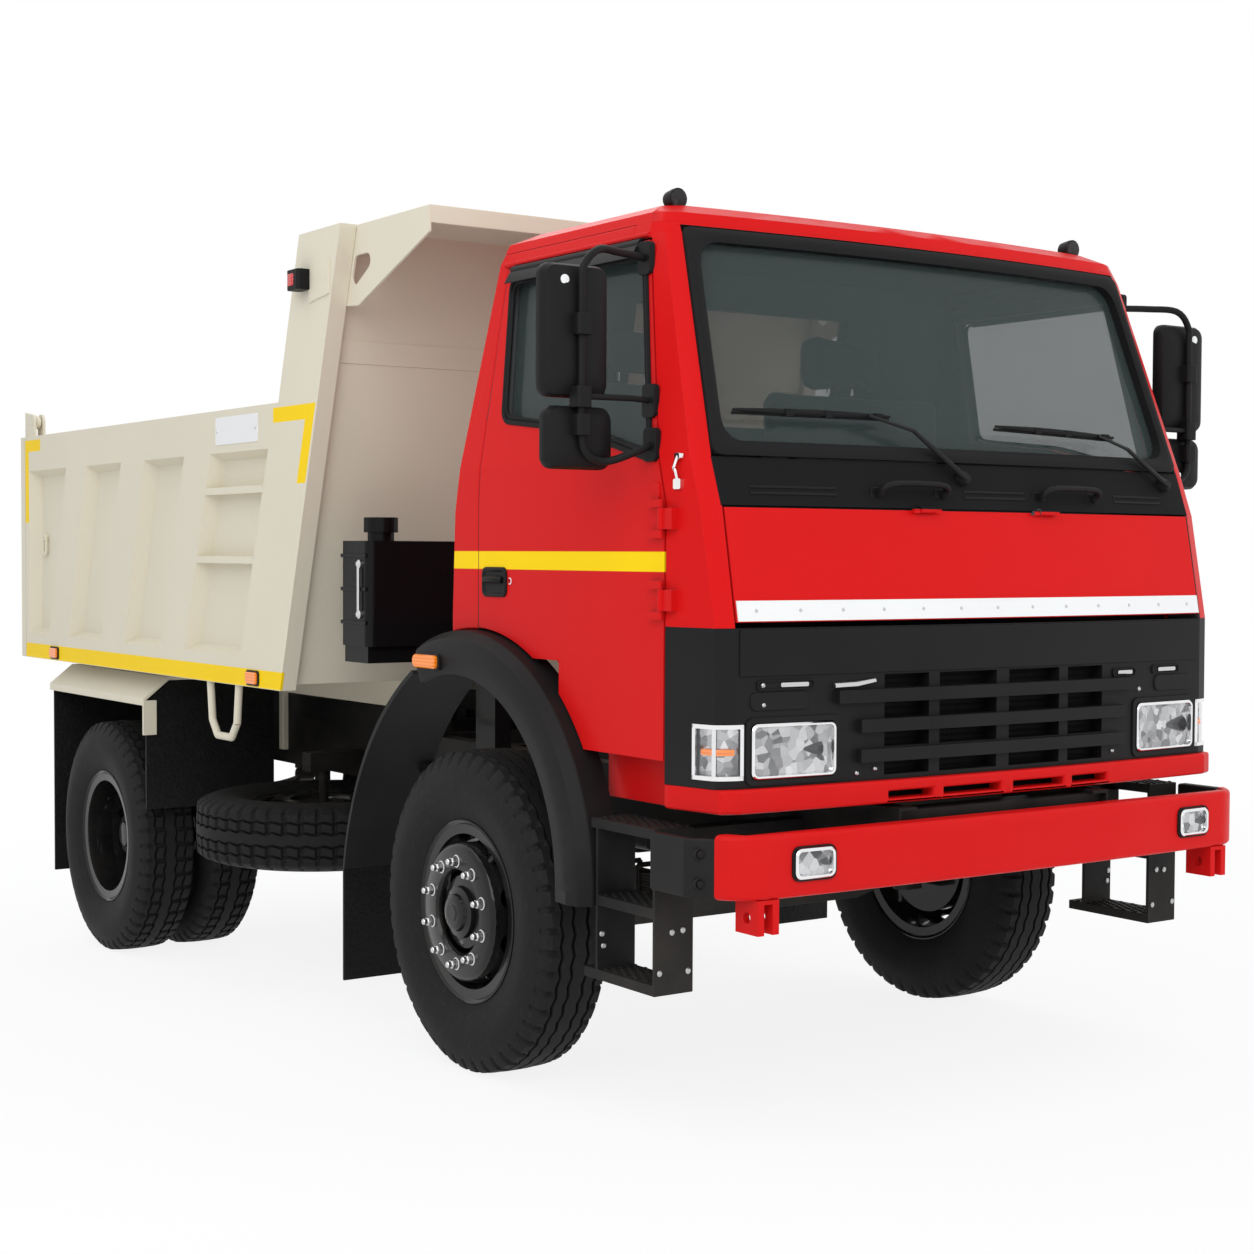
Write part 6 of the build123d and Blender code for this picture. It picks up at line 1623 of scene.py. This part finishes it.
class TRUCK_OT_springs(bpy.types.Operator):
    """Builds the leaf springs leaf by leaf with their clamps and bolts"""

    bl_idname = "truck.springs"
    bl_label = "Leaf springs"

    def execute(self, context):
        leaves, clamps = Form(), Form()
        count = sizes().leaf_count
        for axle, seat, pack in SPRING_PACKS:
            thick = pack / count
            for side in (-1, 1):
                x = (side * SPRING_X - SPRING_WIDTH / 2, side * SPRING_X + SPRING_WIDTH / 2)
                for k in range(count):
                    reach = SPRING_REACH * (0.3 + 0.7 * (k + 1) / count)
                    low, high = [], []
                    for t in np.linspace(-1, 1, 15):
                        y = t * reach
                        z = seat + pack - (count - k) * thick + (SPRING_EYE_Z - 14 - seat - pack + thick) * (
                            y / SPRING_REACH) ** 2
                        low.append((axle + y, z))
                        high.append((axle + y, z + thick - 1.6))
                    leaves.side_slab([*low, *high[::-1]], x)
                for end in (-1, 1):
                    eye = (0, axle + end * SPRING_REACH, SPRING_EYE_Z)
                    leaves.lathe([(x[0], 30), (x[1], 30)], eye, "X", 24)
                for y in (axle - CLAMP_REACH, axle + CLAMP_REACH):
                    top = seat + pack + CLAMP_RISE
                    for edge in x:
                        clamps.tube([(edge, y, seat - 40), (edge, y, top)], CLAMP_BAR, 10)
                        clamps.nut((edge, y, seat - 26), "Z", 26, -14)
                    clamps.tube([(edge, y, top) for edge in x], CLAMP_BAR, 10)
        leaves.piece("spring_leaves", "iron", replaces=["leaf_springs"])
        clamps.piece("spring_clamps", "chassis")
        return {"FINISHED"}


class TRUCK_OT_stage(bpy.types.Operator):
    """Sets the floor, the soft lights, the white surroundings and the photograph's camera"""

    bl_idname = "truck.stage"
    bl_label = "Stage"

    LIGHTS = (
        # name, place, watts, size
        ("key", (-7.0, -7.5, 6.5), 415.0, 7.0),
        ("fill", (5.5, -8.5, 4.0), 195.0, 7.0),
        ("top", (-1.0, 0.5, 8.5), 172.0, 8.0),
        ("back", (4.0, 7.5, 6.0), 126.0, 6.0),
    )
    AIM = (0.0, -0.4, 1.1)
    SKY = (0.93, 0.96, 1.0)
    SKY_LEVEL = 0.66
    FLOOR_FADE = (7.5, 5.0)    # where the floor goes over into the surroundings, and over how far
    FLOOR_WHITE = 0.86         # how far the seen floor is white of itself, over which its shadow still lies
    CAMERA_PLACE = (-4.38378, -7.11005, 1.45366)
    CAMERA_YAW = math.radians(-34.736)
    CAMERA_PITCH = -0.00202
    CAMERA_ROLL = -0.01946

    def execute(self, context):
        self.floor(context)
        self.surroundings(context)
        for name, place, watts, size in self.LIGHTS:
            light = bpy.data.lights.new(name, "AREA")
            light.energy = watts
            light.size = size
            made = bpy.data.objects.new(name, light)
            made.location = place
            made.visible_glossy = name != "fill"    # it would veil the windscreen
            aim = Vector(self.AIM) - Vector(place)
            made.rotation_euler = aim.to_track_quat("-Z", "Y").to_euler()
            context.scene.collection.objects.link(made)
        self.camera(context)
        context.scene.view_settings.view_transform = "Standard"
        return {"FINISHED"}

    def floor(self, context):
        half = sizes().floor_size / 2
        data = bpy.data.meshes.new("floor")
        corners = [(sx * half, sy * half, 0) for sx, sy in ((-1, -1), (1, -1), (1, 1), (-1, 1))]
        data.from_pydata(corners, [], [(0, 1, 2, 3)])
        made = bpy.data.objects.new("floor", data)
        context.scene.collection.objects.link(made)
        finish = Finish("floor")
        speckle = finish.noise(0.9)
        x, y, _ = finish.drawing()
        far = (x * x + y * y).power(0.5) * MM
        made.data.materials.append(finish.done(
            Base_Color=finish.shades(tuple(colours().floor), speckle, 0.01), Roughness=0.75,
            Alpha=1 - far.above(*self.FLOOR_FADE)))
        white = finish.node("Emission", None, {"Color": (1, 1, 1)})
        lit = finish.node("MixShader", None, {
            0: finish.seen() * self.FLOOR_WHITE, 1: finish.shader.outputs[0], 2: white.outputs[0]})
        finish.feed(finish.tree.nodes["Material Output"].inputs["Surface"], lit.outputs[0])

    def surroundings(self, context):
        world = bpy.data.worlds.new("surroundings")
        context.scene.world = world
        world.use_nodes = True
        world.node_tree.nodes.clear()
        shading = Shading(world.node_tree)
        light = shading.node("Background", None, {"Color": self.SKY, "Strength": self.SKY_LEVEL})
        white = shading.node("Background", None, {"Color": (1, 1, 1), "Strength": 1.0})
        mix = shading.node("MixShader", None, {0: shading.seen(), 1: light.outputs[0], 2: white.outputs[0]})
        shading.node("OutputWorld", None, {0: mix.outputs[0]})

    def camera(self, context):
        data = bpy.data.cameras.new("camera")
        data.lens = sizes().lens_length
        data.sensor_width = 36.0
        data.dof.use_dof = False
        turn = (
            Matrix.Rotation(self.CAMERA_YAW, 3, "Z")
            @ Matrix.Rotation(math.pi / 2 + self.CAMERA_PITCH, 3, "X")
            @ Matrix.Rotation(self.CAMERA_ROLL, 3, "Z")
        )
        made = bpy.data.objects.new("camera", data)
        made.matrix_world = Matrix.Translation(self.CAMERA_PLACE) @ turn.to_4x4()
        context.scene.collection.objects.link(made)
        context.scene.camera = made


STEPS = (
    TRUCK_OT_frame, TRUCK_OT_tyres, TRUCK_OT_wheels, TRUCK_OT_screen, TRUCK_OT_front, TRUCK_OT_doors,
    TRUCK_OT_steps, TRUCK_OT_bed, TRUCK_OT_fittings, TRUCK_OT_tail, TRUCK_OT_springs, TRUCK_OT_seats,
    TRUCK_OT_stage,
)


class TRUCK_PT_panel(bpy.types.Panel):
    """Lists the truck's steps, sizes and colours"""

    bl_idname = "TRUCK_PT_panel"
    bl_label = "Tipper truck"
    bl_space_type = "VIEW_3D"
    bl_region_type = "UI"
    bl_category = "Truck"

    def draw(self, context):
        for step in STEPS:
            self.layout.operator(step.bl_idname)
        for group in (context.scene.truck_sizes, context.scene.truck_colours):
            for name in group.__annotations__:
                self.layout.prop(group, name)


CLASSES = (TruckSizes, TruckColours, *STEPS, TRUCK_PT_panel)


def register():
    for kind in CLASSES:
        bpy.utils.register_class(kind)
    bpy.types.Scene.truck_sizes = PointerProperty(type=TruckSizes)
    bpy.types.Scene.truck_colours = PointerProperty(type=TruckColours)


def unregister():
    del bpy.types.Scene.truck_colours
    del bpy.types.Scene.truck_sizes
    for kind in reversed(CLASSES):
        bpy.utils.unregister_class(kind)


def main():
    register()
    for step in STEPS:
        group, name = step.bl_idname.split(".")
        getattr(getattr(bpy.ops, group), name)()


if __name__ == "__main__":
    main()
